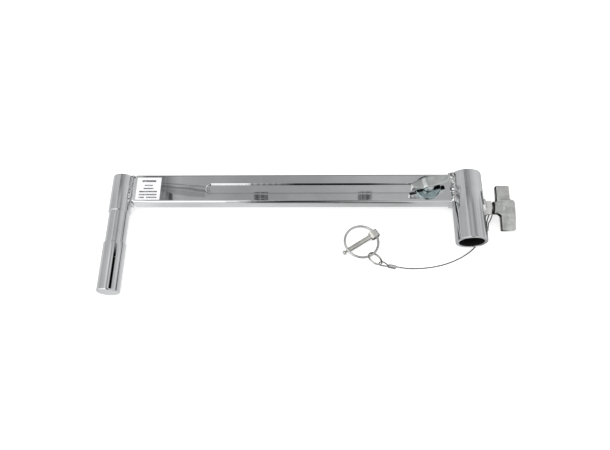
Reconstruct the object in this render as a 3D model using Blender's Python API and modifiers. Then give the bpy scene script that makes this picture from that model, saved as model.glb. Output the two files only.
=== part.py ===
"""Adjustable offset arm for lighting grip: a slotted rectangular beam with a pin
receiver at one end and a sliding inner member that carries a stepped mounting pin.

Metres, +Z up.  +X runs along the beam from the pin to the receiver.  The pin and
the receiver bore both run along Y, with the pin's free end towards -Y.  The slotted
face of the beam looks up (+Z) and the arm lies on its back.  The sizes below are in
millimetres from the beam's centre line and the resting plane; the last step moves the
whole arm so that the world origin is the centre of the pin's free end face.
"""
import math

import bmesh
import bpy
from mathutils import Matrix, Vector

MM = 0.001
X_AXIS, Y_AXIS, Z_AXIS = (1, 0, 0), (0, 1, 0), (0, 0, 1)

# ---- main sizes (mm) -------------------------------------------------------
AXIS_Z = 20.0                 # height of the pin, beam and receiver axes
GAP = 0.3                     # air between pieces that touch

# outer tube: height along Y, depth along Z
BEAM_H = 40.0
BEAM_D = 18.0
BEAM_WALL = 2.0
BEAM_CORNER_R = 2.2
BEAM_X0 = 18.9                # square cut end beside the pin
BEAM_TOP_Z = AXIS_Z + BEAM_D / 2
SLOT_X0 = 113.8
SLOT_X1 = 409.4
SLOT_W = 12.5

# inner tube
SLIDE_PLAY = 0.4              # air on each side inside the outer tube
INNER_H = BEAM_H - 2 * (BEAM_WALL + SLIDE_PLAY)
INNER_D = BEAM_D - 2 * (BEAM_WALL + SLIDE_PLAY)
INNER_WALL = 1.8
INNER_CORNER_R = 1.8
INNER_X0 = 4.0
INNER_X1 = 426.0

# receiver
REC_X = 454.5
REC_R = 20.0
REC_BORE_R = 14.7
REC_Y_TOP = 22.0              # +Y end face
REC_Y_BOTTOM = -72.0          # -Y end face
REC_CHAMFER = 1.5             # widening of the bore at each end
REC_CHAMFER_LEN = REC_CHAMFER * 1.4

# pin, from its +Y end to its free end
PIN_Y_TOP = 19.7
PIN_Y_NECK_TOP = -31.3
PIN_Y_NECK_END = -74.5
PIN_Y_END = -138.8
PIN_TOP_R = 14.15
PIN_NECK_R = 12.85
PIN_R = 14.2875

# both lock screws
STUD_R = 4.8
STUD_IN_HUB = 9.5             # how far a screw reaches into its handle

# receiver lock, along X
LOCK_Y = -25.0
BOSS_X0 = 474.9
BOSS_X1 = 482.7
BOSS_FLATS = 17.6             # hexagon, across flats
REC_LOCK_X = 485.9            # foot of the receiver handle's hub
REC_LOCK_TURN = math.radians(8.0)
REC_SCREW_TIP_X = 465.2

# arm lock, along Z
ARM_LOCK_X = 402.5
WASHER_R = 16.5
WASHER_T = 2.0
ARM_LOCK_Z = BEAM_TOP_Z + GAP + WASHER_T + GAP    # foot of the arm handle's hub
ARM_LOCK_TURN = math.radians(12.0)
ARM_SCREW_TIP_Z = 16.6

LIE_SLOPE = 5.7 / REC_X       # the resting plane rises 5.7 from receiver to pin

# Piece: (material name, base colour, roughness, metallic)
FINISHES = {
    "outer_tube": ("outer_tube_chrome", (0.60, 0.61, 0.63), 0.14, 1.0),
    "receiver_tube": ("receiver_chrome", (0.60, 0.61, 0.63), 0.12, 1.0),
    "receiver_weld": ("receiver_weld_chrome", (0.66, 0.66, 0.67), 0.24, 1.0),
    "lock_boss": ("lock_boss_chrome", (0.66, 0.66, 0.66), 0.26, 1.0),
    "boss_weld": ("boss_weld_chrome", (0.64, 0.64, 0.65), 0.28, 1.0),
    "label_plate": ("label_film", (0.93, 0.93, 0.93), 0.45, 0.0),
    "junior_pin": ("pin_chrome", (0.66, 0.66, 0.67), 0.10, 1.0),
    "inner_tube": ("inner_tube_chrome", (0.58, 0.59, 0.61), 0.20, 1.0),
    "pin_weld": ("pin_weld_chrome", (0.64, 0.64, 0.65), 0.26, 1.0),
    "clamp_nut": ("clamp_nut_zinc", (0.55, 0.55, 0.52), 0.40, 1.0),
    "arm_lock_washer": ("washer_zinc", (0.62, 0.68, 0.70), 0.22, 1.0),
    "arm_lock_handle": ("arm_handle_casting", (0.48, 0.49, 0.48), 0.42, 1.0),
    "arm_lock_screw": ("arm_screw_zinc", (0.55, 0.56, 0.57), 0.34, 1.0),
    "receiver_lock_handle": ("receiver_handle_casting", (0.47, 0.48, 0.47), 0.45, 1.0),
    "receiver_lock_screw": ("receiver_screw_zinc", (0.52, 0.52, 0.50), 0.36, 1.0),
    "lanyard_cable": ("cable_galvanised", (0.50, 0.50, 0.50), 0.40, 1.0),
    "neck_ferrule": ("neck_ferrule_aluminium", (0.56, 0.56, 0.56), 0.42, 1.0),
    "eye_ferrule": ("eye_ferrule_aluminium", (0.58, 0.58, 0.58), 0.42, 1.0),
    "link_ring": ("link_ring_nickel", (0.56, 0.56, 0.52), 0.26, 1.0),
    "lynch_ring": ("lynch_ring_zinc", (0.58, 0.58, 0.56), 0.26, 1.0),
    "lynch_pin": ("lynch_pin_zinc", (0.62, 0.62, 0.57), 0.34, 1.0),
}

# ---- scene set-up ----------------------------------------------------------
for old in list(bpy.data.objects):
    bpy.data.objects.remove(old, do_unlink=True)

parts_col = bpy.data.collections.new("offset_arm")
bpy.context.scene.collection.children.link(parts_col)
cut_col = bpy.data.collections.new("offset_arm_cutters")
bpy.context.scene.collection.children.link(cut_col)


# ============================================================================
# Mesh and object helpers (lengths in mm)
# ============================================================================
def add_object(name, mesh):
    ob = bpy.data.objects.new(name, mesh)
    parts_col.objects.link(ob)
    return ob


def from_bmesh(name, bm):
    bmesh.ops.recalc_face_normals(bm, faces=bm.faces[:])
    mesh = bpy.data.meshes.new(name)
    bm.to_mesh(mesh)
    bm.free()
    return add_object(name, mesh)


def combine(ob, tool, operation="DIFFERENCE"):
    """Adds a boolean with the tool, which becomes a hidden helper."""
    parts_col.objects.unlink(tool)
    cut_col.objects.link(tool)
    tool.hide_render = True
    tool.display_type = "WIRE"
    modifier = ob.modifiers.new("bool_" + tool.name, "BOOLEAN")
    modifier.operation = operation
    modifier.solver = "EXACT"
    modifier.object = tool


def boolean_tools(ob):
    return [m.object for m in ob.modifiers if m.type == "BOOLEAN"]


def axis_matrix(origin, z_dir, x_dir=None):
    """Frame at the origin with its Z along z_dir and its X as near x_dir as it can be."""
    z = Vector(z_dir).normalized()
    if x_dir is None:
        x_dir = X_AXIS if abs(z.x) < 0.9 else Y_AXIS
    x = Vector(x_dir)
    x = (x - z * x.dot(z)).normalized()
    y = z.cross(x)
    matrix = Matrix((x, y, z)).transposed().to_4x4()
    matrix.translation = Vector(origin) * MM
    return matrix


def bevel(bm, edges, offset, segments, clamp=False):
    bmesh.ops.bevel(bm, geom=edges, offset=offset * MM, segments=segments,
                    profile=0.5, affect="EDGES", clamp_overlap=clamp)


def box_mesh(size):
    bm = bmesh.new()
    bmesh.ops.create_cube(bm, size=1.0)
    bmesh.ops.scale(bm, vec=[s * MM for s in size], verts=bm.verts)
    return bm


def edges_along(bm, axis):
    """Edges of a box along axis 0, 1 or 2."""
    return [e for e in bm.edges
            if abs(e.verts[0].co[axis] - e.verts[1].co[axis]) > 1e-6]


def cylinder_mesh(r, length, segs):
    """Cylinder from z = 0 up to its length."""
    bm = bmesh.new()
    bmesh.ops.create_cone(bm, cap_ends=True, cap_tris=False, segments=segs,
                          radius1=r * MM, radius2=r * MM, depth=length * MM,
                          matrix=Matrix.Translation((0, 0, length * MM / 2)))
    return bm


def rod(name, r, length, matrix, segs, chamfer=0.0):
    """Cylinder whose base is at the matrix origin and which runs along its Z."""
    bm = cylinder_mesh(r, length, segs)
    if chamfer:
        rim = [e for e in bm.edges if abs(e.verts[0].co.z - e.verts[1].co.z) < 1e-7]
        bevel(bm, rim, chamfer, 2, clamp=True)
    ob = from_bmesh(name, bm)
    ob.matrix_world = matrix
    return ob


def cope_tool(name, r, x, length):
    """Cylinder along Y about the beam's centre plane, for coping a tube's end."""
    return rod(name, r, length, axis_matrix((x, -length / 2, AXIS_Z), Y_AXIS), 96)


def screw_bore(name, clearance, length, origin, direction):
    return rod(name, STUD_R + clearance, length, axis_matrix(origin, direction), 32)


def bar_x(name, x0, x1, h, d, corner_r, segs):
    """Bar along X with rounded long edges, h along Y and d along Z."""
    bm = box_mesh((x1 - x0, h, d))
    bevel(bm, edges_along(bm, 0), corner_r, segs)
    ob = from_bmesh(name, bm)
    ob.location = Vector(((x0 + x1) / 2, 0.0, AXIS_Z)) * MM
    return ob


def block(name, size, centre, edge_r=0.0):
    bm = box_mesh(size)
    if edge_r:
        bevel(bm, bm.edges[:], edge_r, 2)
    ob = from_bmesh(name, bm)
    ob.location = Vector(centre) * MM
    return ob


def lathe(name, profile, matrix, steps, closed=False):
    """Turned piece from (radius, height) points listed down its outer side."""
    mesh = bpy.data.meshes.new(name)
    edges = [(i, i + 1) for i in range(len(profile) - 1)]
    if closed:
        edges.append((len(profile) - 1, 0))
    mesh.from_pydata([(r * MM, 0.0, z * MM) for r, z in profile], edges, [])
    ob = add_object(name, mesh)
    turn = ob.modifiers.new("turn", "SCREW")
    turn.axis = "Z"
    turn.angle = math.tau
    turn.steps = steps
    turn.render_steps = steps
    turn.use_merge_vertices = True
    turn.merge_threshold = 0.00001
    turn.use_normal_calculate = True
    ob.matrix_world = matrix
    return ob


def wire(name, points, r, cyclic=False, radii=None):
    """Round wire along a polyline, made from a bevelled curve and kept as a mesh.
    radii holds a factor on r for each point."""
    curve = bpy.data.curves.new(name + "_path", "CURVE")
    curve.dimensions = "3D"
    curve.twist_mode = "MINIMUM"
    curve.bevel_depth = r * MM
    curve.bevel_resolution = 2
    curve.use_fill_caps = True
    spline = curve.splines.new("POLY")
    spline.points.add(len(points) - 1)
    for i, p in enumerate(points):
        spline.points[i].co = (p[0] * MM, p[1] * MM, p[2] * MM, 1.0)
        spline.points[i].radius = radii[i] if radii else 1.0
    spline.use_cyclic_u = cyclic
    carrier = add_object(name + "_tmp", curve)
    bpy.context.view_layer.update()
    depsgraph = bpy.context.evaluated_depsgraph_get()
    mesh = bpy.data.meshes.new_from_object(carrier.evaluated_get(depsgraph))
    bpy.data.objects.remove(carrier, do_unlink=True)
    bpy.data.curves.remove(curve)
    bm = bmesh.new()
    bm.from_mesh(mesh)
    bpy.data.meshes.remove(mesh)
    bmesh.ops.remove_doubles(bm, verts=bm.verts[:], dist=1e-6)
    return from_bmesh(name, bm)


def smooth_path(pts, per_span):
    """Catmull-Rom points through the given points."""
    out = []
    n = len(pts)
    for i in range(n - 1):
        p0 = pts[i - 1] if i > 0 else pts[i] * 2 - pts[i + 1]
        p1, p2 = pts[i], pts[i + 1]
        p3 = pts[i + 2] if i + 2 < n else pts[i + 1] * 2 - pts[i]
        for k in range(per_span):
            t = k / per_span
            out.append(0.5 * ((2 * p1) + (p2 - p0) * t
                              + (2 * p0 - 5 * p1 + 4 * p2 - p3) * t * t
                              + (3 * p1 - p0 - 3 * p2 + p3) * t ** 3))
    out.append(pts[-1])
    return out


def even_path(pts, step):
    """The same path resampled at an even spacing."""
    out = [pts[0]]
    carry = 0.0               # distance already covered since the last point
    for a, b in zip(pts[:-1], pts[1:]):
        seg = (b - a).length
        t = step - carry
        while t < seg:
            out.append(a.lerp(b, t / seg))
            t += step
        carry = seg - (t - step)
    if (out[-1] - pts[-1]).length < step * 0.4:
        out.pop()
    out.append(pts[-1])
    return out


def weld_bead(name, points, r, mean, ripples):
    """Closed bead whose radius factor varies about the mean.
    ripples: (amplitude, waves round the bead, phase)."""
    radii = []
    for i in range(len(points)):
        a = math.tau * i / len(points)
        radii.append(mean + sum(size * math.sin(waves * a + phase)
                                for size, waves, phase in ripples))
    return wire(name, points, r, cyclic=True, radii=radii)


def frame_path(h, d, off, corner_r, h_spans, d_spans):
    """Rounded rectangle in (y, z) about the beam axis, off mm outside h x d."""
    r = corner_r + off
    cy, cz = h / 2 + off - r, d / 2 + off - r

    def corner_point(corner, deg):
        y, z, _ = corner
        a = math.radians(deg)
        return y + r * math.cos(a), z + r * math.sin(a)

    # corner centre y, z and the angle at which its arc starts
    corners = [(cy, cz, 0), (-cy, cz, 90), (-cy, -cz, 180), (cy, -cz, 270)]
    out = []
    for k, corner in enumerate(corners):
        start = corner[2]
        out += [corner_point(corner, start + 90 * j / 3) for j in range(4)]
        following = corners[(k + 1) % 4]
        p = corner_point(corner, start + 90)
        q = corner_point(following, following[2])
        spans = h_spans if k % 2 == 0 else d_spans
        for j in range(1, spans):
            t = j / spans
            out.append((p[0] + (q[0] - p[0]) * t, p[1] + (q[1] - p[1]) * t))
    return out


# ============================================================================
# Fixed side: slotted outer tube, receiver, boss, welds, label
# ============================================================================
def slot_tool():
    """Round-ended slot through the beam's top wall."""
    bm = box_mesh((SLOT_X1 - SLOT_X0, SLOT_W, 8))
    bevel(bm, edges_along(bm, 2), SLOT_W / 2 - 0.01, 10)
    ob = from_bmesh("cut_slot", bm)
    ob.location = Vector(((SLOT_X0 + SLOT_X1) / 2, 0, BEAM_TOP_Z)) * MM
    return ob


def build_outer_tube():
    ob = bar_x("outer_tube", BEAM_X0, REC_X - 12.0, BEAM_H, BEAM_D, BEAM_CORNER_R, segs=4)
    combine(ob, bar_x("cut_outer_inside", BEAM_X0 - 10, REC_X, BEAM_H - 2 * BEAM_WALL,
                      BEAM_D - 2 * BEAM_WALL, 1.0, segs=2))
    combine(ob, slot_tool())
    combine(ob, cope_tool("cut_outer_cope", REC_R + GAP, REC_X, 120))
    return ob


def build_receiver():
    rim = 0.5
    ob = lathe("receiver_tube", [
        (REC_BORE_R + REC_CHAMFER, REC_Y_TOP),
        (REC_R - rim, REC_Y_TOP),
        (REC_R, REC_Y_TOP - rim),
        (REC_R, REC_Y_BOTTOM + rim),
        (REC_R - rim, REC_Y_BOTTOM),
        (REC_BORE_R + REC_CHAMFER, REC_Y_BOTTOM),
        (REC_BORE_R, REC_Y_BOTTOM + REC_CHAMFER_LEN),
        (REC_BORE_R, REC_Y_TOP - REC_CHAMFER_LEN),
    ], axis_matrix((REC_X, 0, AXIS_Z), Y_AXIS), steps=80, closed=True)
    combine(ob, screw_bore("cut_receiver_screw", 0.5, 30, (REC_X + 5, LOCK_Y, AXIS_Z), X_AXIS))
    return ob


def build_lock_boss():
    """Hexagonal boss for the receiver lock screw."""
    corner_r = BOSS_FLATS / 2 / math.cos(math.pi / 6)
    bm = cylinder_mesh(corner_r, BOSS_X1 - BOSS_X0, 6)
    bevel(bm, bm.edges[:], 0.7, 2)
    ob = from_bmesh("lock_boss", bm)
    ob.matrix_world = axis_matrix((BOSS_X0, LOCK_Y, AXIS_Z), X_AXIS, (0, 1, 0.35))
    combine(ob, screw_bore("cut_boss_bore", 0.4, 30, (BOSS_X0 - 8, LOCK_Y, AXIS_Z), X_AXIS))
    return ob


def build_boss_weld():
    """Bead round the foot of the boss, following the receiver's round wall."""
    loop_r = 11.9
    count = 30
    points = []
    for i in range(count):
        a = math.tau * i / count
        y, z = loop_r * math.cos(a), loop_r * math.sin(a)
        x = REC_X + math.sqrt(REC_R ** 2 - z ** 2) + 1.75
        points.append((x, LOCK_Y + y, AXIS_Z + z))
    return weld_bead("boss_weld", points, r=1.25, mean=0.95,
                     ripples=((0.13, 5, 0.4), (0.09, 11, 0.0)))


def build_receiver_weld():
    """Fillet weld between the beam and the receiver."""
    path = frame_path(BEAM_H, BEAM_D, 2.35, BEAM_CORNER_R, 9, 4)
    points = []
    for i, (y, z) in enumerate(path):
        a = math.tau * i / len(path)
        x = REC_X - math.sqrt(REC_R ** 2 - z * z) - 2.6
        points.append((x + 0.25 * math.sin(9 * a), y, AXIS_Z + z))
    return weld_bead("receiver_weld", points, r=1.75, mean=0.90,
                     ripples=((0.13, 13, 1.0), (0.08, 23, 0.0)))


def build_label():
    thickness = 0.3
    return block("label_plate", (32.0, 32.2, thickness),
                 (37.4, -0.5, BEAM_TOP_Z + 0.1 + thickness / 2))


# ============================================================================
# Sliding side: stepped pin, inner tube, weld, clamp nut
# ============================================================================
def build_pin():
    return lathe("junior_pin", [
        (0, PIN_Y_TOP),
        (PIN_TOP_R - 0.6, PIN_Y_TOP),
        (PIN_TOP_R, PIN_Y_TOP - 0.6),
        (PIN_TOP_R, PIN_Y_NECK_TOP + 0.4),
        (PIN_TOP_R - 0.4, PIN_Y_NECK_TOP),
        (PIN_NECK_R, PIN_Y_NECK_TOP),
        (PIN_NECK_R, PIN_Y_NECK_END + 0.1),
        (PIN_R - 0.4, PIN_Y_NECK_END),
        (PIN_R, PIN_Y_NECK_END - 0.4),
        (PIN_R, PIN_Y_END + 1.6),
        (PIN_R - 0.5, PIN_Y_END + 0.5),
        (PIN_R - 1.6, PIN_Y_END),
        (0, PIN_Y_END),
    ], axis_matrix((0, 0, AXIS_Z), Y_AXIS), steps=72)


def build_inner_tube():
    ob = bar_x("inner_tube", INNER_X0, INNER_X1, INNER_H, INNER_D, INNER_CORNER_R, segs=3)
    combine(ob, bar_x("cut_inner_inside", -10, INNER_X1 + 20, INNER_H - 2 * INNER_WALL,
                      INNER_D - 2 * INNER_WALL, 0.8, segs=2))
    combine(ob, cope_tool("cut_inner_cope", PIN_TOP_R + GAP, 0, 90))
    combine(ob, screw_bore("cut_inner_screw", 0.6, 12, (ARM_LOCK_X, 0, AXIS_Z + 2), Z_AXIS))
    return ob


def build_pin_weld():
    """Bead between the pin and the inner tube."""
    points = []
    for y, z in frame_path(INNER_H, INNER_D, 2.0, INNER_CORNER_R, 8, 3):
        x = max(math.sqrt(PIN_TOP_R ** 2 - z * z) + 2.05, 13.6)
        points.append((x, y, AXIS_Z + z))
    return weld_bead("pin_weld", points, r=1.55, mean=0.88,
                     ripples=((0.12, 11, 0.6), (0.09, 19, 0.0)))


def build_clamp_nut():
    """Square nut inside the inner tube, on the arm lock screw."""
    ob = block("clamp_nut", (24.0, 24.0, 8.8), (ARM_LOCK_X, 0, AXIS_Z), edge_r=0.6)
    combine(ob, screw_bore("cut_nut_thread", 0.35, 30, (ARM_LOCK_X, 0, 0), Z_AXIS))
    return ob


# ============================================================================
# Lock handles, screws and washer
# In a handle, u runs along the bar and w along the screw from the hub's foot.
# ============================================================================
# Bar stations: (u, inset of the section at the rounded ends)
TEE_STATIONS = [
    (-29.4, 1.5), (-29.1, 0.75), (-28.4, 0.2), (-27.6, 0.0), (-22.0, 0.0), (-17.0, 0.0),
    (-12.5, 0.0), (-11.0, 0.0), (-10.0, 0.0), (-8.9, 0.0), (-8.3, 0.0), (-6.8, 0.0),
    (-5.4, 0.0), (-3.0, 0.0), (0.0, 0.0), (3.5, 0.0), (7.0, 0.0), (8.0, 0.0), (9.2, 0.0),
    (10.5, 0.0), (15.0, 0.0), (20.0, 0.0), (25.0, 0.0), (28.4, 0.0), (29.3, 0.2),
    (30.0, 0.75), (30.3, 1.5),
]
# Hollows of the arms: (tag, u0, u1, w0, w1)
TEE_POCKETS = (
    ("inner", -27.8, -11.4, -4.0, 17.4),
    ("outer", 12.4, 28.8, 1.0, 22.2),
)
TEE_POCKET_WALL = 1.25


def tee_section(u, end_t, middle_t, height_scale, inner_share):
    """Near and far edge of the bar at u, and half its thickness at each of them."""
    if u < -8.8:
        w_near = 4.2
    elif u < 7.4:
        w_near = 4.0
    else:
        w_near = 8.4 - 3.8 * max(0.0, (10.5 - u) / 3.1)
    if u < -11.0:
        w_far = 21.7
    elif u < -5.5:
        w_far = 21.7 + 4.9 * math.sin(math.pi / 2 * (u + 11.0) / 5.5)
    else:
        w_far = 26.6
    extra = (middle_t - end_t) / 2 * max(0.0, 1 - (abs(u) / 28.0) ** 2.4)
    if u < -9.5:
        extra *= inner_share
    return w_near * height_scale, w_far * height_scale, end_t / 2, end_t / 2 + extra


def tee_ring(w_near, w_far, half_near, half_far, inset):
    """Rounded trapezoid of (w, thickness) points, shrunk by the inset."""
    w_near, w_far = w_near + inset, w_far - inset
    half_near, half_far = half_near - inset, half_far - inset
    r = 1.5 - inset * 0.6
    ring = []
    for cw, ct, start in ((w_far - r, half_far - r, 0),
                          (w_near + r, half_near - r, 90),
                          (w_near + r, -(half_near - r), 180),
                          (w_far - r, -(half_far - r), 270)):
        for j in range(4):
            a = math.radians(start + 30 * j)
            ring.append((cw + r * math.cos(a), ct + r * math.sin(a)))
    return ring


def tee_handle(name, matrix, length_scale, height_scale, end_t, middle_t, hub_r, inner_share):
    """Casting along local Z, bar along local X.  The +X arm stands further out.
    The bar is end_t thick at its ends and near edge and middle_t thick in the middle of
    its far face.  The -X arm keeps inner_share of that extra thickness.  Both arms are
    hollow on the side that faces the hub's foot."""
    bm = bmesh.new()
    rings = []
    for u, inset in TEE_STATIONS:
        section = tee_section(u, end_t, middle_t, height_scale, inner_share)
        rings.append([bm.verts.new((u * length_scale * MM, t * MM, w * MM))
                      for w, t in tee_ring(*section, inset)])
    n = len(rings[0])
    for a, b in zip(rings[:-1], rings[1:]):
        for j in range(n):
            bm.faces.new((a[j], a[(j + 1) % n], b[(j + 1) % n], b[j]))
    bm.faces.new(rings[0][::-1])
    bm.faces.new(rings[-1])
    ob = from_bmesh(name, bm)

    hub = lathe("join_hub_" + name, [
        (0, 15.5 * height_scale),
        (hub_r * 0.55, 15.5 * height_scale),
        (hub_r * 0.85, 13.6 * height_scale),
        (hub_r, 10.5 * height_scale),
        (hub_r, 1.1),
        (hub_r - 0.7, 0.0),
        (0, 0),
    ], Matrix.Identity(4), steps=40)
    combine(ob, hub, "UNION")
    combine(ob, screw_bore("cut_hub_" + name, 0.35, 12.0, (0, 0, -2), Z_AXIS))
    for tag, u0, u1, w0, w1 in TEE_POCKETS:
        size = ((u1 - u0) * length_scale, end_t - 2 * TEE_POCKET_WALL,
                (w1 - w0) * height_scale)
        centre = ((u0 + u1) / 2 * length_scale, 0.0, (w0 + w1) / 2 * height_scale)
        combine(ob, block("cut_pocket_" + tag + "_" + name, size, centre, edge_r=0.6))

    bpy.context.view_layer.update()
    for piece in [ob] + boolean_tools(ob):
        piece.matrix_world = matrix @ piece.matrix_world
    return ob


def build_washer():
    bore_r = STUD_R + 0.6
    return lathe("arm_lock_washer", [
        (bore_r, WASHER_T),
        (WASHER_R - 0.5, WASHER_T),
        (WASHER_R, WASHER_T - 0.5),
        (WASHER_R, 0.3),
        (WASHER_R - 0.3, 0),
        (bore_r, 0),
    ], axis_matrix((ARM_LOCK_X, 0, BEAM_TOP_Z + GAP), Z_AXIS), steps=56, closed=True)


def build_arm_handle():
    bar_dir = (math.cos(ARM_LOCK_TURN), math.sin(ARM_LOCK_TURN), 0)
    return tee_handle("arm_lock_handle",
                      axis_matrix((ARM_LOCK_X, 0, ARM_LOCK_Z), Z_AXIS, bar_dir),
                      length_scale=0.82, height_scale=0.66, end_t=6.6, middle_t=14.4,
                      hub_r=7.2, inner_share=1.0)


def build_receiver_handle():
    bar_dir = (0, -math.cos(REC_LOCK_TURN), -math.sin(REC_LOCK_TURN))
    return tee_handle("receiver_lock_handle",
                      axis_matrix((REC_LOCK_X, LOCK_Y, AXIS_Z), X_AXIS, bar_dir),
                      length_scale=1.0, height_scale=1.0, end_t=8.8, middle_t=15.6,
                      hub_r=8.6, inner_share=0.2)


def build_arm_screw():
    return rod("arm_lock_screw", STUD_R, ARM_LOCK_Z + STUD_IN_HUB - ARM_SCREW_TIP_Z,
               axis_matrix((ARM_LOCK_X, 0, ARM_SCREW_TIP_Z), Z_AXIS), segs=32, chamfer=0.8)


def build_receiver_screw():
    return rod("receiver_lock_screw", STUD_R, REC_LOCK_X + STUD_IN_HUB - REC_SCREW_TIP_X,
               axis_matrix((REC_SCREW_TIP_X, LOCK_Y, AXIS_Z), X_AXIS), segs=32, chamfer=0.8)


# ============================================================================
# Lanyard: cable with an eye at each end, two ferrules, link ring, lynch pin
# ============================================================================
def on_plane(p):
    """Point whose height is measured from the resting plane."""
    return Vector((p[0], p[1], p[2] + LIE_SLOPE * (REC_X - p[0])))


# link ring: its plane holds link_chain and link_across, and link_normal is its axis
LINK_R = 10.0
LINK_TURNS = 1.86
LINK_PITCH = 1.62
LINK_TILT = math.radians(40.0)
link_centre = on_plane((333.3, -90.7, 8.4))
link_chain = Vector((-0.68, 0.733, 0.0)).normalized()
link_side = Vector((0.733, 0.68, 0.0)).normalized()
link_across = link_side * math.cos(LINK_TILT) - Vector(Z_AXIS) * math.sin(LINK_TILT)
link_normal = link_chain.cross(link_across).normalized()

# ferrules, each from its start to its end along the cable
CABLE_R = 0.75
STRAND_OFF = CABLE_R + 0.12   # half the strand spacing inside a ferrule
neck_start = Vector((480.7, -46.2, 4.0))
neck_end = Vector((477.2, -52.6, 2.5))
neck_dir = (neck_end - neck_start).normalized()
neck_side = neck_dir.cross(Vector((0.55, 0.25, -0.79))).normalized()
eye_start = on_plane((359.6, -99.9, 2.2))
eye_end = on_plane((350.5, -98.3, 2.6))
eye_dir = (eye_end - eye_start).normalized()

# far eye: a teardrop from its root to its tip, across the link ring's plane
eye_root = eye_end + eye_dir * 0.8
eye_tip = link_centre - link_chain * 7.35
eye_length = (eye_tip - eye_root).length
eye_axis = (eye_tip - eye_root).normalized()
eye_across = -(link_normal - eye_axis * link_normal.dot(eye_axis)).normalized()
eye_side = (eye_across - eye_dir * eye_across.dot(eye_dir)).normalized()

# One side of the far eye: (share of its length, half width)
FAR_EYE_HALF = [
    (0.10, 1.15), (0.28, 1.95), (0.48, 2.75), (0.68, 3.2), (0.84, 3.05), (0.95, 2.05),
    (1.0, 0.72),
]

# neck eye: a loop round the screw, midway between the boss and the handle
NECK_X = (BOSS_X1 + REC_LOCK_X) / 2
NECK_LOOP_R = 6.3
NECK_LOOP_DEGREES = (172, 145, 115, 85, 55, 25, -5, -35, -65, -95, -120)
# Strands between the ferrule and the loop: (x, y, z)
NECK_RISE = [(481.4, -42.6, 8.4), (482.9, -39.0, 13.2), (484.2, -35.2, 17.6)]
NECK_FALL = [(483.7, -29.8, 10.9), (482.3, -32.6, 9.0), (480.9, -37.4, 6.6),
             (480.4, -42.2, 4.4)]

# Cable between the ferrules: (x, y, height above the resting plane), after a first
# point whose height is a plain z
RUN_START = (473.2, -59.2, 1.5)
RUN = [
    (468.6, -65.4, 1.05), (463.9, -71.0, 0.95), (456.6, -77.8, 0.95), (449.6, -82.7, 0.95),
    (442.7, -86.8, 0.95), (428.3, -93.3, 0.95), (414.3, -97.5, 0.95), (400.3, -100.0, 0.95),
    (386.5, -101.1, 0.95), (373.6, -100.9, 1.1),
]

# lynch pin and its ring
RING_WIRE_R = 1.45
RING_R = 21.8
RING_TILT = math.radians(6.4)
RING_HALF_GAP = math.radians(14.5)
RING_STUB = 2.6               # how far each end of the ring turns in from the pin's axis
lynch_head = on_plane((333.3, -56.6, 5.6))
lynch_dir = Vector((-0.842, -0.540, 0.0)).normalized()      # from head to tip
lynch_across = Vector((0.540, -0.842, 0.0)).normalized()
lynch_pivot = lynch_head - lynch_dir * 1.1


def build_link_ring():
    """Coil of nearly two turns, tilted across the line of the chain."""
    spans = 64
    points = []
    for i in range(spans + 1):
        t = i / spans
        a = math.tau * LINK_TURNS * t + math.radians(200)
        shift = (t - 0.5) * LINK_TURNS * LINK_PITCH
        points.append(link_centre
                      + (link_chain * math.cos(a) + link_across * math.sin(a)) * LINK_R
                      + link_normal * shift)
    return wire("link_ring", points, 0.62)


def neck_eye_points():
    loop = []
    for degrees in NECK_LOOP_DEGREES:
        a = math.radians(degrees)
        loop.append((NECK_X, LOCK_Y + NECK_LOOP_R * math.cos(a),
                     AXIS_Z + NECK_LOOP_R * math.sin(a)))
    return [Vector(p) for p in NECK_RISE + loop + NECK_FALL]


def far_eye_points():
    outline = FAR_EYE_HALF + [(share, -w) for share, w in reversed(FAR_EYE_HALF)]
    return [eye_root + eye_axis * (eye_length * share) + eye_across * w
            for share, w in outline]


def build_cable():
    neck_off = neck_side * STRAND_OFF
    eye_off = eye_side * STRAND_OFF
    path = [neck_end + neck_off - neck_dir * 0.6, neck_start + neck_off]
    path += neck_eye_points()
    path += [neck_start - neck_off, neck_end - neck_off, Vector(RUN_START)]
    path += [on_plane(p) for p in RUN]
    path += [eye_start - eye_dir * 1.8 + eye_off, eye_start + eye_off, eye_end + eye_off]
    path += far_eye_points()
    path += [eye_end - eye_off, eye_start + eye_dir * 0.8 - eye_off]
    return wire("lanyard_cable", even_path(smooth_path(path, 10), 1.9), CABLE_R)


def oval_bar(name, w, t, length, matrix):
    bm = box_mesh((w, t, length))
    bevel(bm, edges_along(bm, 2), t / 2 - 0.02, 6)
    ob = from_bmesh(name, bm)
    ob.matrix_world = matrix
    return ob


def build_ferrule(name, start, end, wide_dir, extra_length):
    """Pressed oval sleeve round two strands that lie side by side along wide_dir."""
    length = (end - start).length + extra_length
    matrix = axis_matrix((start + end) / 2, end - start, wide_dir)
    ob = oval_bar(name, 5.2, 3.6, length, matrix)
    combine(ob, oval_bar("cut_" + name, 3.9, 2.15, length + 8, matrix))
    return ob


def build_lynch_ring():
    """Spring wire ring whose turned-in ends pivot in the lynch pin's head."""
    spans = 60
    ring_dir = lynch_dir * math.cos(RING_TILT) + Vector(Z_AXIS) * math.sin(RING_TILT)
    centre = lynch_pivot + ring_dir * (RING_R * math.cos(RING_HALF_GAP))
    points = [lynch_pivot + lynch_across * RING_STUB]
    for i in range(spans + 1):
        a = math.pi - RING_HALF_GAP - (math.tau - 2 * RING_HALF_GAP) * i / spans
        points.append(centre
                      + (ring_dir * math.cos(a) + lynch_across * math.sin(a)) * RING_R)
    points.append(lynch_pivot - lynch_across * RING_STUB)
    return wire("lynch_ring", points, RING_WIRE_R)


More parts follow.
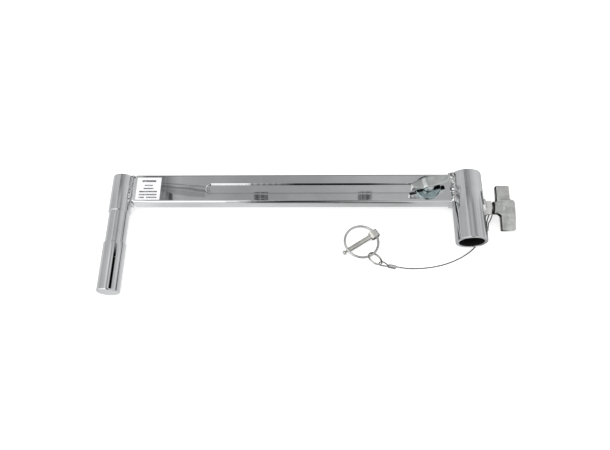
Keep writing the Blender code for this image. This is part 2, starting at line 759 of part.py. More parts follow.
def build_lynch_pin():
    """Round shank, squared head with a cross hole, waisted tip."""
    shank_r, waist_r, tip_r = 2.95, 1.35, 2.7
    matrix = axis_matrix(lynch_head, lynch_dir, lynch_across)
    ob = lathe("lynch_pin", [
        (0, 48.4), (1.5, 48.3), (tip_r, 46.9), (tip_r, 45.6), (waist_r, 44.1),
        (waist_r, 42.0), (shank_r, 40.3), (shank_r, 3.0), (0, 3.0),
    ], matrix, steps=28)
    bm = box_mesh((10.0, 10.4, 11.6))
    bevel(bm, edges_along(bm, 0), 2.6, 1)
    bevel(bm, bm.edges[:], 0.5, 1)
    head = from_bmesh("join_lynch_head", bm)
    head.matrix_world = matrix
    combine(ob, head, "UNION")
    combine(ob, rod("cut_lynch_cross", RING_WIRE_R + 0.35, 30,
                    axis_matrix(lynch_pivot - lynch_across * 15, lynch_across), segs=24))
    return ob


# ============================================================================
# Materials, origins and parents
# ============================================================================
def make_material(name, colour, roughness, metallic):
    mat = bpy.data.materials.new(name)
    mat.use_nodes = True
    shader = mat.node_tree.nodes["Principled BSDF"]
    shader.inputs["Base Color"].default_value = (*colour, 1.0)
    shader.inputs["Roughness"].default_value = roughness
    shader.inputs["Metallic"].default_value = metallic
    mat.diffuse_color = (*colour, 1.0)
    return mat


def paint_pieces():
    for piece, finish in FINISHES.items():
        materials = bpy.data.objects[piece].data.materials
        materials.clear()
        materials.append(make_material(*finish))


def set_origin(ob, point):
    """Moves an object's origin to a world point without moving its shape."""
    bpy.context.view_layer.update()
    target = Vector(point) * MM
    world = ob.matrix_world.copy()
    ob.data.transform(Matrix.Translation(-(world.inverted() @ target)))
    world.translation = target
    ob.matrix_world = world


def hang(ob, parent):
    """Parents an object without moving it."""
    bpy.context.view_layer.update()
    world = ob.matrix_world.copy()
    ob.parent = parent
    ob.matrix_parent_inverse = parent.matrix_world.inverted()
    ob.matrix_world = world


def add_empty(name, point, parent=None):
    ob = add_object(name, None)
    ob.empty_display_size = 0.02
    ob.location = Vector(point) * MM
    bpy.context.view_layer.update()
    if parent:
        hang(ob, parent)
    return ob


# ============================================================================
# Assembly
# ============================================================================
fixed_parts = [build_outer_tube(), build_receiver(), build_lock_boss(),
               build_boss_weld(), build_receiver_weld(), build_label()]
slide_parts = [build_pin(), build_inner_tube(), build_pin_weld(), build_clamp_nut()]
washer = build_washer()
arm_handle = build_arm_handle()
arm_screw = build_arm_screw()
receiver_handle = build_receiver_handle()
receiver_screw = build_receiver_screw()
link_ring = build_link_ring()
cable_parts = [
    build_cable(),
    build_ferrule("neck_ferrule", neck_start, neck_end, neck_side, extra_length=-0.6),
    build_ferrule("eye_ferrule", eye_start, eye_end, eye_side, extra_length=0.4),
]
lynch_ring = build_lynch_ring()
lynch_pin = build_lynch_pin()

paint_pieces()

arm_lock_point = (ARM_LOCK_X, 0, ARM_LOCK_Z)
rec_lock_point = (REC_LOCK_X, LOCK_Y, AXIS_Z)
for ob, point in ((arm_handle, arm_lock_point), (arm_screw, arm_lock_point),
                  (receiver_handle, rec_lock_point), (receiver_screw, rec_lock_point),
                  (link_ring, eye_tip),
                  (lynch_ring, link_centre + link_chain * LINK_R),
                  (lynch_pin, lynch_pivot)):
    set_origin(ob, point)

root = add_empty("receiver_arm_root", (REC_X, 0, AXIS_Z))
slide = add_empty("pin_arm_slide", (0, 0, AXIS_Z), root)
arm_lift = add_empty("arm_lock_lift", (ARM_LOCK_X, 0, BEAM_TOP_Z), slide)
receiver_lift = add_empty("receiver_lock_lift", rec_lock_point, root)
swing = add_empty("lanyard_swing", (NECK_X, LOCK_Y, AXIS_Z), root)

for parent, children in (
        (root, fixed_parts),
        (slide, slide_parts),
        (arm_lift, [washer, arm_handle, arm_screw]),
        (receiver_lift, [receiver_handle, receiver_screw]),
        (swing, cable_parts + [link_ring]),
        (link_ring, [lynch_ring]),
        (lynch_ring, [lynch_pin])):
    for child in children:
        hang(child, parent)

# the tools of the handles and the lynch pin follow their piece, the rest the root
for owner in (arm_handle, receiver_handle, lynch_pin):
    for tool in boolean_tools(owner):
        hang(tool, owner)
for tool in cut_col.objects:
    if tool.parent is None:
        hang(tool, root)
bpy.context.view_layer.update()

# move the world origin to the centre of the pin's free end face
root.location = root.location + Vector((0.0, -PIN_Y_END, -AXIS_Z)) * MM
bpy.context.view_layer.update()
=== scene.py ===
# A chromed steel beam lying along X. A pin is welded across it at x = 0 and a receiver tube
# across its +X end, both running along Y. The outer tube has a long slot in its top (+Z) face.
# Two cast lock handles hold the joints; a wire lanyard leads from the receiver's lock to a
# link ring and a lynch pin. Everything rests on a plane that slopes from pin to receiver.
import math

import bmesh
import bpy
import numpy as np
from mathutils import Matrix, Vector, noise


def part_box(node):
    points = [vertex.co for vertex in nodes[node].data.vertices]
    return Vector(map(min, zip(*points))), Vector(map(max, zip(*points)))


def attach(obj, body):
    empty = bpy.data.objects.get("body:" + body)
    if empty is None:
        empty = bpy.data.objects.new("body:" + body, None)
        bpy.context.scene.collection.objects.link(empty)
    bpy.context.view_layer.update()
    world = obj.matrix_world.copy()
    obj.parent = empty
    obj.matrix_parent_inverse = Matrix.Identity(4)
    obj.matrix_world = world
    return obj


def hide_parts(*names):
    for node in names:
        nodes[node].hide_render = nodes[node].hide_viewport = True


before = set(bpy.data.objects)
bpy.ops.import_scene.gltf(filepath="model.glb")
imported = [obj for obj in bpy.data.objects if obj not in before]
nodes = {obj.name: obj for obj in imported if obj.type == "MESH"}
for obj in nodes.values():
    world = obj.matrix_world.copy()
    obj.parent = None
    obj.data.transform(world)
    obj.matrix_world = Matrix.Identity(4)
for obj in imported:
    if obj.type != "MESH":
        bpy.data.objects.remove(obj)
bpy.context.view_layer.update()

MM = 0.001
scene = bpy.context.scene
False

# ---------------------------------------------------------------------------
# Anchors read from the frame, in metres
# ---------------------------------------------------------------------------
REC_LO, REC_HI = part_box("receiver_tube")
REC_X = (REC_LO.x + REC_HI.x) / 2
REC_R = (REC_HI.x - REC_LO.x) / 2
PIN_LO, PIN_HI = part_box("junior_pin")
BEAM_LO, BEAM_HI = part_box("outer_tube")
CY = (BEAM_LO.y + BEAM_HI.y) / 2          # the beam's centre line
CZ = (BEAM_LO.z + BEAM_HI.z) / 2
BOSS_LO, BOSS_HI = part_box("lock_boss")
LOCK_Y = (BOSS_LO.y + BOSS_HI.y) / 2

# Nominal sizes shared by several pieces, in mm
AXIS_H = 20.0             # drawing height of the beam's centre line
NOMINAL_REC_R = 20.0      # receiver radius that the weld paths follow
PIN_UPPER_R = 14.15       # pin radius where the beam meets it


def place(x, y, z):
    """World point from drawing mm: x from the pin axis, y from the beam's centre line."""
    return Vector((x * MM, CY + y * MM, CZ + (z - AXIS_H) * MM))


# ---------------------------------------------------------------------------
# Paths and directions
# ---------------------------------------------------------------------------


def turn(count):
    """Evenly spaced angles round a full circle."""
    return [math.tau * j / count for j in range(count)]


def square_to(vec, axis):
    """Unit direction of vec with its part along axis taken out."""
    return (vec - axis * vec.dot(axis)).normalized()


def circle(centre, a, b, radius, segs):
    return [centre + (a * math.cos(q) + b * math.sin(q)) * radius for q in turn(segs)]


def carry_frame(pts, cyclic=False):
    """(point, tangent, normal, side) at each point, carried along without twist."""
    pts = [Vector(p) for p in pts]
    count = len(pts)
    tangents = []
    for i in range(count):
        before = pts[(i - 1) % count] if (cyclic or i > 0) else pts[i]
        after = pts[(i + 1) % count] if (cyclic or i < count - 1) else pts[i]
        tangents.append((after - before).normalized())
    up = Vector((0, 0, 1)) if abs(tangents[0].z) < 0.9 else Vector((1, 0, 0))
    normal = square_to(up, tangents[0])
    out = []
    for point, tangent in zip(pts, tangents):
        normal = square_to(normal, tangent)
        out.append((point, tangent, normal, tangent.cross(normal)))
    if cyclic:
        # spread the angle left over at the seam along the whole loop
        first_t, first_n = out[0][1], out[0][2]
        carried = square_to(out[-1][2], first_t)
        gap = math.atan2(first_n.cross(carried).dot(first_t), first_n.dot(carried))
        for i, (point, tangent, normal, _) in enumerate(out):
            normal = Matrix.Rotation(-gap * i / count, 3, tangent) @ normal
            out[i] = (point, tangent, normal, tangent.cross(normal))
    return out


def smooth_path(pts, per_span):
    """Catmull-Rom curve through the points."""
    pts = [Vector(p) for p in pts]
    out = []
    count = len(pts)
    for i in range(count - 1):
        p0 = pts[i - 1] if i > 0 else pts[i] * 2 - pts[i + 1]
        p1, p2 = pts[i], pts[i + 1]
        p3 = pts[i + 2] if i + 2 < count else pts[i + 1] * 2 - pts[i]
        for k in range(per_span):
            t = k / per_span
            out.append(0.5 * ((2 * p1) + (p2 - p0) * t
                              + (2 * p0 - 5 * p1 + 4 * p2 - p3) * t * t
                              + (3 * p1 - p0 - 3 * p2 + p3) * t ** 3))
    out.append(pts[-1])
    return out


def even_path(pts, step):
    """The same line with points every step along it, both ends kept."""
    pts = [Vector(p) for p in pts]
    out = [pts[0]]
    carry = 0.0
    for a, b in zip(pts[:-1], pts[1:]):
        seg = (b - a).length
        if seg < 1e-12:
            continue
        t = step - carry
        while t < seg:
            out.append(a.lerp(b, t / seg))
            t += step
        carry = seg - (t - step)
    if (out[-1] - pts[-1]).length < step * 0.4:
        out.pop()
    out.append(pts[-1])
    return out


# ---------------------------------------------------------------------------
# Mesh helpers
# ---------------------------------------------------------------------------


def new_object(name, verts, faces, smooth=True):
    mesh = bpy.data.meshes.new(name)
    mesh.from_pydata([tuple(v) for v in verts], [], faces)
    mesh.validate()
    bm = bmesh.new()
    bm.from_mesh(mesh)
    bmesh.ops.recalc_face_normals(bm, faces=bm.faces[:])
    bm.to_mesh(mesh)
    bm.free()
    for poly in mesh.polygons:
        poly.use_smooth = smooth
    ob = bpy.data.objects.new(name, mesh)
    scene.collection.objects.link(ob)
    return ob


def skin(ring_count, size, first=0, cyclic=False):
    """Faces over equal closed rings whose points start at index first."""
    faces = []
    for i in range(ring_count if cyclic else ring_count - 1):
        a = first + i * size
        b = first + ((i + 1) % ring_count) * size
        for j in range(size):
            k = (j + 1) % size
            faces.append((a + j, a + k, b + k, b + j))
    if not cyclic:
        faces.append(tuple(first + j for j in range(size))[::-1])
        faces.append(tuple(first + (ring_count - 1) * size + j for j in range(size)))
    return faces


def loft(name, rings, cyclic=False):
    """Skin over rings of points: capped at both ends, or closed on itself if cyclic."""
    verts = [v for ring in rings for v in ring]
    return new_object(name, verts, skin(len(rings), len(rings[0]), cyclic=cyclic))


def sweep(name, pts, r, segs):
    """Round wire along an open path, with domed ends."""
    path = carry_frame(pts)
    # (position on the path, radius factor, shift along the path in radii)
    stations = [(path[0], 0.35, -0.36), (path[0], 0.80, -0.18)]
    stations += [(at, 1.0, 0.0) for at in path]
    stations += [(path[-1], 0.80, 0.18), (path[-1], 0.35, 0.36)]
    return loft(name, [circle(p + t * (shift * r), a, b, r * factor, segs)
                       for (p, t, a, b), factor, shift in stations])


def lathe_y(name, profile, cx, cz, solid=False, steps=176):
    """Turned piece about a line along Y. profile: (radius mm, y in metres); a solid
    piece is capped at both ends, otherwise the profile is a closed loop."""
    rings = [[Vector((cx + r * MM * math.sin(q), y, cz + r * MM * math.cos(q)))
              for q in turn(steps)] for r, y in profile]
    return loft(name, rings, cyclic=not solid)


def quarter_round(r, y, grow, radius_first, steps=4):
    """Profile points of a quarter circle from (r, y) towards -Y. Its size is |grow| mm and
    the radius changes by grow; radius_first leaves along the radius, else along Y."""
    drop = -abs(grow) * MM
    out = []
    for i in range(steps + 1):
        a = math.pi / 2 * i / steps
        along, away = math.sin(a), 1 - math.cos(a)
        if radius_first:
            out.append((r + grow * along, y + drop * away))
        else:
            out.append((r + grow * away, y + drop * along))
    return out


def finish_shade(ob, weld=False, bevel=None, angle=None):
    """Live modifiers: weld, edge rounding (bevel in mm, above angle in degrees) and
    weighted normals."""
    if weld:
        mod = ob.modifiers.new("weld", "WELD")
        mod.merge_threshold = 0.000002
    if bevel:
        mod = ob.modifiers.new("edge_round", "BEVEL")
        mod.width = bevel * MM
        mod.segments = 2
        mod.limit_method = "ANGLE"
        mod.angle_limit = math.radians(angle)
        mod.harden_normals = False
        mod.use_clamp_overlap = True
        mod.miter_outer = "MITER_ARC"
    for poly in ob.data.polygons:
        poly.use_smooth = True
    mod = ob.modifiers.new("weighted", "WEIGHTED_NORMAL")
    mod.mode = "FACE_AREA"
    mod.weight = 90
    mod.thresh = 0.01
    mod.keep_sharp = False


def bake_modifiers(ob):
    bpy.context.view_layer.update()
    depsgraph = bpy.context.evaluated_depsgraph_get()
    mesh = bpy.data.meshes.new_from_object(ob.evaluated_get(depsgraph))
    ob.modifiers.clear()
    old = ob.data
    ob.data = mesh
    bpy.data.meshes.remove(old)


def cut_away(ob, cutter):
    """Boolean difference that is applied at once; the cutter is removed."""
    mod = ob.modifiers.new("cut", "BOOLEAN")
    mod.solver = "EXACT"
    mod.object = cutter
    bake_modifiers(ob)
    bpy.data.objects.remove(cutter, do_unlink=True)


def give(ob, material):
    ob.data.materials.clear()
    ob.data.materials.append(material)
    for poly in ob.data.polygons:
        poly.material_index = 0


def install(ob, node, body):
    """Give a piece its material and put it in the place of a CAD node."""
    give(ob, MAT[node])
    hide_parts(node)
    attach(ob, body)


# ---------------------------------------------------------------------------
# Node trees
# ---------------------------------------------------------------------------


class Graph:
    """Short-hand for building a node tree. Any input may be a socket or a plain value."""

    def __init__(self, tree):
        self.tree = tree
        tree.nodes.clear()

    def feed(self, node, sockets):
        for key, value in sockets.items():
            socket = node.inputs[key]
            if isinstance(value, bpy.types.NodeSocket):
                self.tree.links.new(value, socket)
            elif socket.type == "RGBA":
                socket.default_value = (*value, 1)
            else:
                socket.default_value = value

    def add(self, kind, sockets=None, **props):
        node = self.tree.nodes.new(kind)
        for key, value in props.items():
            setattr(node, key, value)
        self.feed(node, sockets or {})
        return node

    def principled(self, **values):
        """Principled shader wired to a new material output."""
        shader = self.add("ShaderNodeBsdfPrincipled", values)
        self.add("ShaderNodeOutputMaterial", {0: shader.outputs[0]})
        return shader

    def math(self, op, *terms, clamp=False):
        node = self.add("ShaderNodeMath", dict(enumerate(terms)), operation=op, use_clamp=clamp)
        return node.outputs[0]

    def mul(self, a, b):
        return self.math("MULTIPLY", a, b)

    def mul_add(self, a, b, c, clamp=False):
        """a * b + c"""
        return self.math("MULTIPLY_ADD", a, b, c, clamp=clamp)

    def ramp(self, fac, stops):
        """Grey ramp over fac; stops are (position, value) in rising order."""
        node = self.add("ShaderNodeValToRGB", {0: fac})
        elements = node.color_ramp.elements
        elements.remove(elements[-1])
        elements[0].position = stops[0][0]
        for pos, _ in stops[1:]:
            elements.new(pos)
        for element, (_, v) in zip(elements, stops):
            element.color = (v, v, v, 1)
        return node.outputs[0]

    def step(self, x, start, end, low=0.0, high=1.0):
        """Smooth change from low at start to high at end; start may be above end."""
        return self.add("ShaderNodeMapRange", {
            "Value": x, "From Min": start, "From Max": end, "To Min": low, "To Max": high,
        }, interpolation_type="SMOOTHSTEP").outputs[0]

    def band(self, x, rise, fall):
        """1 between two steps, each given as (start, end)."""
        return self.mul(self.step(x, *rise), self.step(x, *fall))

    def coords(self, scale=(1, 1, 1), rot=(0, 0, 0)):
        tex = self.add("ShaderNodeTexCoord")
        return self.add("ShaderNodeMapping", {
            "Scale": scale, "Rotation": rot, "Vector": tex.outputs["Object"]}).outputs[0]

    def split(self, vec):
        return self.add("ShaderNodeSeparateXYZ", {0: vec}).outputs

    def noise(self, vec, scale, detail, rough):
        return self.add("ShaderNodeTexNoise", {
            "Vector": vec, "Scale": scale, "Detail": detail, "Roughness": rough,
            "Distortion": 0.0}).outputs["Fac"]

    def cells(self, vec, scale):
        """Distance to the nearest Voronoi cell centre."""
        return self.add("ShaderNodeTexVoronoi", {"Vector": vec, "Scale": scale},
                        feature="F1").outputs["Distance"]

    def mix(self, fac, a, b):
        return self.add("ShaderNodeMix", {0: fac, 6: a, 7: b}, data_type="RGBA").outputs[2]

    def mix_shader(self, fac, a, b):
        return self.add("ShaderNodeMixShader", {0: fac, 1: a, 2: b}).outputs[0]

    def dot(self, a, b):
        return self.add("ShaderNodeVectorMath", {0: a, 1: b},
                        operation="DOT_PRODUCT").outputs["Value"]

    def occlusion(self, distance):
        return self.add("ShaderNodeAmbientOcclusion", {"Distance": distance},
                        samples=4).outputs["AO"]

    def edge_mask(self, radius):
        """1 on convex and concave edges within radius, 0 on flat ground."""
        rounded = self.add("ShaderNodeBevel", {"Radius": radius}, samples=4)
        geometry = self.add("ShaderNodeNewGeometry")
        return self.step(self.dot(rounded.outputs[0], geometry.outputs["Normal"]), 0.995, 0.80)

    def bump(self, height, strength, distance, **normal):
        return self.add("ShaderNodeBump", {"Strength": strength, "Distance": distance,
                                           "Height": height, **normal}).outputs[0]


def new_material(name):
    material = bpy.data.materials.new(name)
    material.use_nodes = True
    return material, Graph(material.node_tree)


# ---------------------------------------------------------------------------
# Materials
# ---------------------------------------------------------------------------

# Texture scale per axis; the lines run along the axis with the small value
GRAIN_STRETCH = {"x": (4, 700, 700), "y": (700, 4, 700), "z": (700, 700, 4),
                 "turn": (60, 1500, 60)}


def painted_shade_bore(g, shader, col, roughness, soft, x, z, radius, cover):
    """Painted shade: near-black non-metal within radius (metres) of a line along Y through x, z.
    Returns the new colour and roughness."""
    tex = g.add("ShaderNodeTexCoord")
    pos = g.split(tex.outputs["Object"])
    dx = g.math("SUBTRACT", pos[0], x)
    dz = g.math("SUBTRACT", pos[2], z)
    distance = g.math("SQRT", g.math("ADD", g.mul(dx, dx), g.mul(dz, dz)))
    blur = 0.0002
    inside = g.step(distance, radius + blur, radius - blur)
    dark = g.mix(g.step(soft, 0.35, 0.65), (0.001, 0.001, 0.001), (0.004, 0.004, 0.004))
    g.feed(shader, {"Metallic": g.math("SUBTRACT", 1.0, inside),
                    "Specular IOR Level": g.mul_add(inside, -0.45, 0.5)})
    return (g.mix(g.mul(inside, cover), col, dark),
            g.mul_add(inside, 0.6, roughness, clamp=True))


def chrome(name, tint, rough, haze, grain, grain_amp, ripple, dirt=0.25, pits=0.0,
           worn_and_lit_edges=True, bore=None):
    """Chrome plate over steel. rough is the clean roughness and haze its variation; grain
    and grain_amp set the drawing or turning lines, ripple the waviness, dirt the dull
    film, pits the dark specks; the rubbed edges are lighter as wear and as a painted edge
    highlight, and bore is a hole whose inside gets painted shade, near-black."""
    material, g = new_material(name)
    shader = g.principled(Metallic=1.0)
    local = g.coords()
    lines = g.noise(g.coords(GRAIN_STRETCH[grain]), scale=1.0, detail=4.0, rough=0.6)
    soft = g.noise(local, scale=26.0, detail=4.0, rough=0.55)
    fine = g.noise(local, scale=240.0, detail=3.0, rough=0.6)
    cloud = g.noise(local, scale=9.0, detail=2.0, rough=0.5)
    # hairline scratches running at two angles
    scratch_a = g.noise(g.coords(scale=(900, 18, 60), rot=(0, 0, 0.5)),
                        scale=1.0, detail=2.0, rough=0.5)
    scratch_b = g.noise(g.coords(scale=(40, 1100, 80), rot=(0.3, 0, -0.35)),
                        scale=1.0, detail=2.0, rough=0.5)
    scratches = g.math("MAXIMUM", g.step(scratch_a, 0.66, 0.72), g.step(scratch_b, 0.67, 0.73))
    film_and_side_shade = g.step(cloud, 0.55, 0.75)

    # roughness: haze, then lines, scratches and the dull film on top
    roughness = g.mul_add(soft, haze, rough)
    roughness = g.mul_add(lines, haze * 0.9, roughness)
    roughness = g.mul_add(scratches, 0.05, roughness)
    roughness = g.mul_add(film_and_side_shade, haze * 1.1, roughness, clamp=True)

    # colour
    dark = tuple(c * 0.86 for c in tint)
    light = tuple(min(1.0, c * 1.10) for c in tint)
    col = g.mix(g.step(soft, 0.3, 0.7), tint, light)
    col = g.mix(g.mul(film_and_side_shade, dirt), col, dark)
    col = g.mix(g.mul(g.step(lines, 0.45, 0.75), 0.22), col, dark)
    # rubbed wear on the edges, lightened also as a painted edge highlight
    if worn_and_lit_edges:
        rubbed_and_lit_edge = g.mul(g.edge_mask(radius=0.0006), g.step(fine, 0.30, 0.62))
        col = g.mix(g.mul(rubbed_and_lit_edge, 0.55), col, (0.80, 0.81, 0.82))
    if pits:
        pit = g.mul(g.step(g.cells(local, scale=420.0), 0.22, 0.10), g.step(fine, 0.58, 0.66))
        col = g.mix(g.mul(pit, pits), col, (0.22, 0.21, 0.20))
    # painted shade: the inside of the bore is made near-black and not metal
    if bore:
        col, roughness = painted_shade_bore(g, shader, col, roughness, soft, **bore)

    # relief: fine detail first, then the waviness of the plate
    height = g.mul(lines, grain_amp)
    height = g.mul_add(fine, 0.10, height)
    height = g.mul_add(scratches, -0.35, height)
    normal = g.bump(height, strength=0.08, distance=0.00012)
    waves = g.noise(local, scale=38.0, detail=3.0, rough=0.5)
    normal = g.bump(waves, strength=ripple, distance=0.0009, Normal=normal)
    g.feed(shader, {"Base Color": col, "Roughness": roughness, "Normal": normal})
    return material


def zinc(name, tint, rough, tone=(0.9, 1.0, 1.04), bumpy=0.25, cast=False, tone_amount=0.25,
         dark_painted_side=None):
    """Zinc plate, bright on pressed parts or dull and grainy when cast. tone shifts the
    tint in patches by tone_amount; bumpy is the relief strength. Faces turned towards the
    side given last are painted near-black, a painted dark reflection and shade; hollows get
    painted shade and rubbed edges a painted edge highlight besides their wear."""
    material, g = new_material(name)
    shader = g.principled(Metallic=1.0)
    local = g.coords()
    cloud = g.noise(local, scale=70.0, detail=4.0, rough=0.55)
    grain = g.noise(local, scale=900.0, detail=4.0, rough=0.6)
    mottle = g.noise(local, scale=260.0, detail=4.0, rough=0.6)

    dark = tuple(c * 0.80 for c in tint)
    light = tuple(min(1, c * 1.16) for c in tint)
    toned = tuple(min(1, c * t) for c, t in zip(tint, tone))
    col = g.mix(g.step(cloud, 0.32, 0.68), dark, light)
    col = g.mix(g.mul(g.step(mottle, 0.4, 0.7), tone_amount), col, toned)
    col = g.mix(g.mul(g.step(grain, 0.55, 0.75), 0.25), col, dark)
    # rubbed wear on the edges, lightened also as a painted edge highlight
    rubbed_and_lit_edge = g.mul(g.edge_mask(radius=0.0007), g.step(mottle, 0.35, 0.6))
    col = g.mix(g.mul(rubbed_and_lit_edge, 0.6), col, (0.82, 0.83, 0.83))
    # painted shade in hollows: ambient occlusion darkens the colour, heavier on castings
    hollow_shade = g.step(g.occlusion(distance=0.004), 0.75, 0.25)
    amount, shade = (0.75, 0.22) if cast else (0.45, 0.45)
    col = g.mix(g.mul(hollow_shade, amount), col, tuple(c * shade for c in tint))
    # painted dark reflection and shade: faces turned towards this side are made near-black and not
    # metal
    if dark_painted_side:
        geometry = g.add("ShaderNodeNewGeometry")
        facing = g.dot(geometry.outputs["Normal"], dark_painted_side)
        film_and_side_shade = g.mul(g.step(facing, 0.28, 0.55), g.step(mottle, 0.05, 0.45, low=0.80, high=1.0))
        col = g.mix(film_and_side_shade, col, (0.012, 0.013, 0.012))
        g.feed(shader, {"Metallic": g.math("SUBTRACT", 1.0, film_and_side_shade)})

    roughness = g.mul_add(mottle, min(0.16, rough * 0.5), rough * 0.75)
    roughness = g.mul_add(cloud, min(0.10, rough * 0.3), roughness, clamp=True)
    height = g.mul(grain, 0.6)
    height = g.mul_add(mottle, 0.8, height)
    if cast:
        height = g.mul_add(g.cells(local, scale=650.0), 0.9, height)
    normal = g.bump(height, strength=bumpy, distance=0.00025 if cast else 0.00012)
    g.feed(shader, {"Base Color": col, "Roughness": roughness, "Normal": normal})
    return material


def rope_material(name):
    """Dull galvanised wire, with painted shade between the strands."""
    material, g = new_material(name)
    shader = g.principled(Metallic=1.0)
    local = g.coords()
    patches = g.noise(local, scale=420.0, detail=4.0, rough=0.6)
    fine = g.noise(local, scale=2600.0, detail=3.0, rough=0.6)
    col = g.mix(g.step(patches, 0.35, 0.68), (0.13, 0.13, 0.13), (0.31, 0.31, 0.305))
    # painted shade: ambient occlusion darkens the gaps between the strands
    hollow_shade = g.step(g.occlusion(distance=0.0007), 0.7, 0.2)
    g.feed(shader, {
        "Base Color": g.mix(g.mul(hollow_shade, 0.6), col, (0.08, 0.08, 0.08)),
        "Roughness": g.mul_add(fine, 0.2, 0.28),
        "Normal": g.bump(fine, strength=0.25, distance=0.00006)})
    return material


# Printed bars on the label: centre u, centre v, half width, half height (label = 0..1)
LABEL_BARS = [
    (0.50, 0.84, 0.29, 0.048), (0.50, 0.645, 0.17, 0.030), (0.50, 0.505, 0.21, 0.030),
    (0.50, 0.365, 0.37, 0.034), (0.50, 0.230, 0.37, 0.034),
    (0.25, 0.105, 0.12, 0.032), (0.66, 0.105, 0.22, 0.032)]


def label_material(name, lo, hi):
    """White film with plain grey bars where printing would be, between corners lo and hi."""
    material, g = new_material(name)
    shader = g.principled(**{"Coat Weight": 0.25, "Coat Roughness": 0.2})
    tex = g.add("ShaderNodeTexCoord")
    pos = g.split(tex.outputs["Object"])
    u = g.math("DIVIDE", g.math("SUBTRACT", pos[0], lo.x), hi.x - lo.x)
    v = g.math("DIVIDE", g.math("SUBTRACT", pos[1], lo.y), hi.y - lo.y)

    def within(coord, centre, half):
        away = g.math("ABSOLUTE", g.math("SUBTRACT", coord, centre))
        return g.math("LESS_THAN", away, half)

    broken = g.noise(g.coords(), scale=900.0, detail=1.0, rough=0.5)
    bars = None
    for centre_u, centre_v, half_w, half_h in LABEL_BARS:
        bar = g.mul(within(u, centre_u, half_w), within(v, centre_v, half_h))
        bars = bar if bars is None else g.math("MAXIMUM", bars, bar)
    ink = g.mul(bars, g.step(broken, 0.36, 0.54, low=0.62, high=1.0))

    local = g.coords()
    paper = g.noise(local, scale=300.0, detail=4.0, rough=0.6)
    fibre = g.noise(local, scale=2400.0, detail=3.0, rough=0.6)
    col = g.mix(g.step(paper, 0.3, 0.7), (0.86, 0.865, 0.87), (0.93, 0.93, 0.93))
    # greyer rim round the film
    edge_u = g.math("MINIMUM", u, g.math("SUBTRACT", 1.0, u))
    edge_v = g.math("MINIMUM", v, g.math("SUBTRACT", 1.0, v))
    rim = g.step(g.math("MINIMUM", edge_u, edge_v), 0.03, 0.0)
    col = g.mix(g.mul(rim, 0.25), col, (0.62, 0.62, 0.60))
    g.feed(shader, {
        "Base Color": g.mix(ink, col, (0.12, 0.12, 0.14)),
        "Roughness": g.mul_add(paper, 0.2, 0.30),
        "Normal": g.bump(fibre, strength=0.12, distance=0.00008)})
    return material


WELD_LOOK = dict(grain="z", grain_amp=0.5, ripple=0.5, pits=0.8, dirt=0.5, worn_and_lit_edges=False)
DRAWN_LOOK = dict(grain="x", grain_amp=0.12, ripple=0.003)

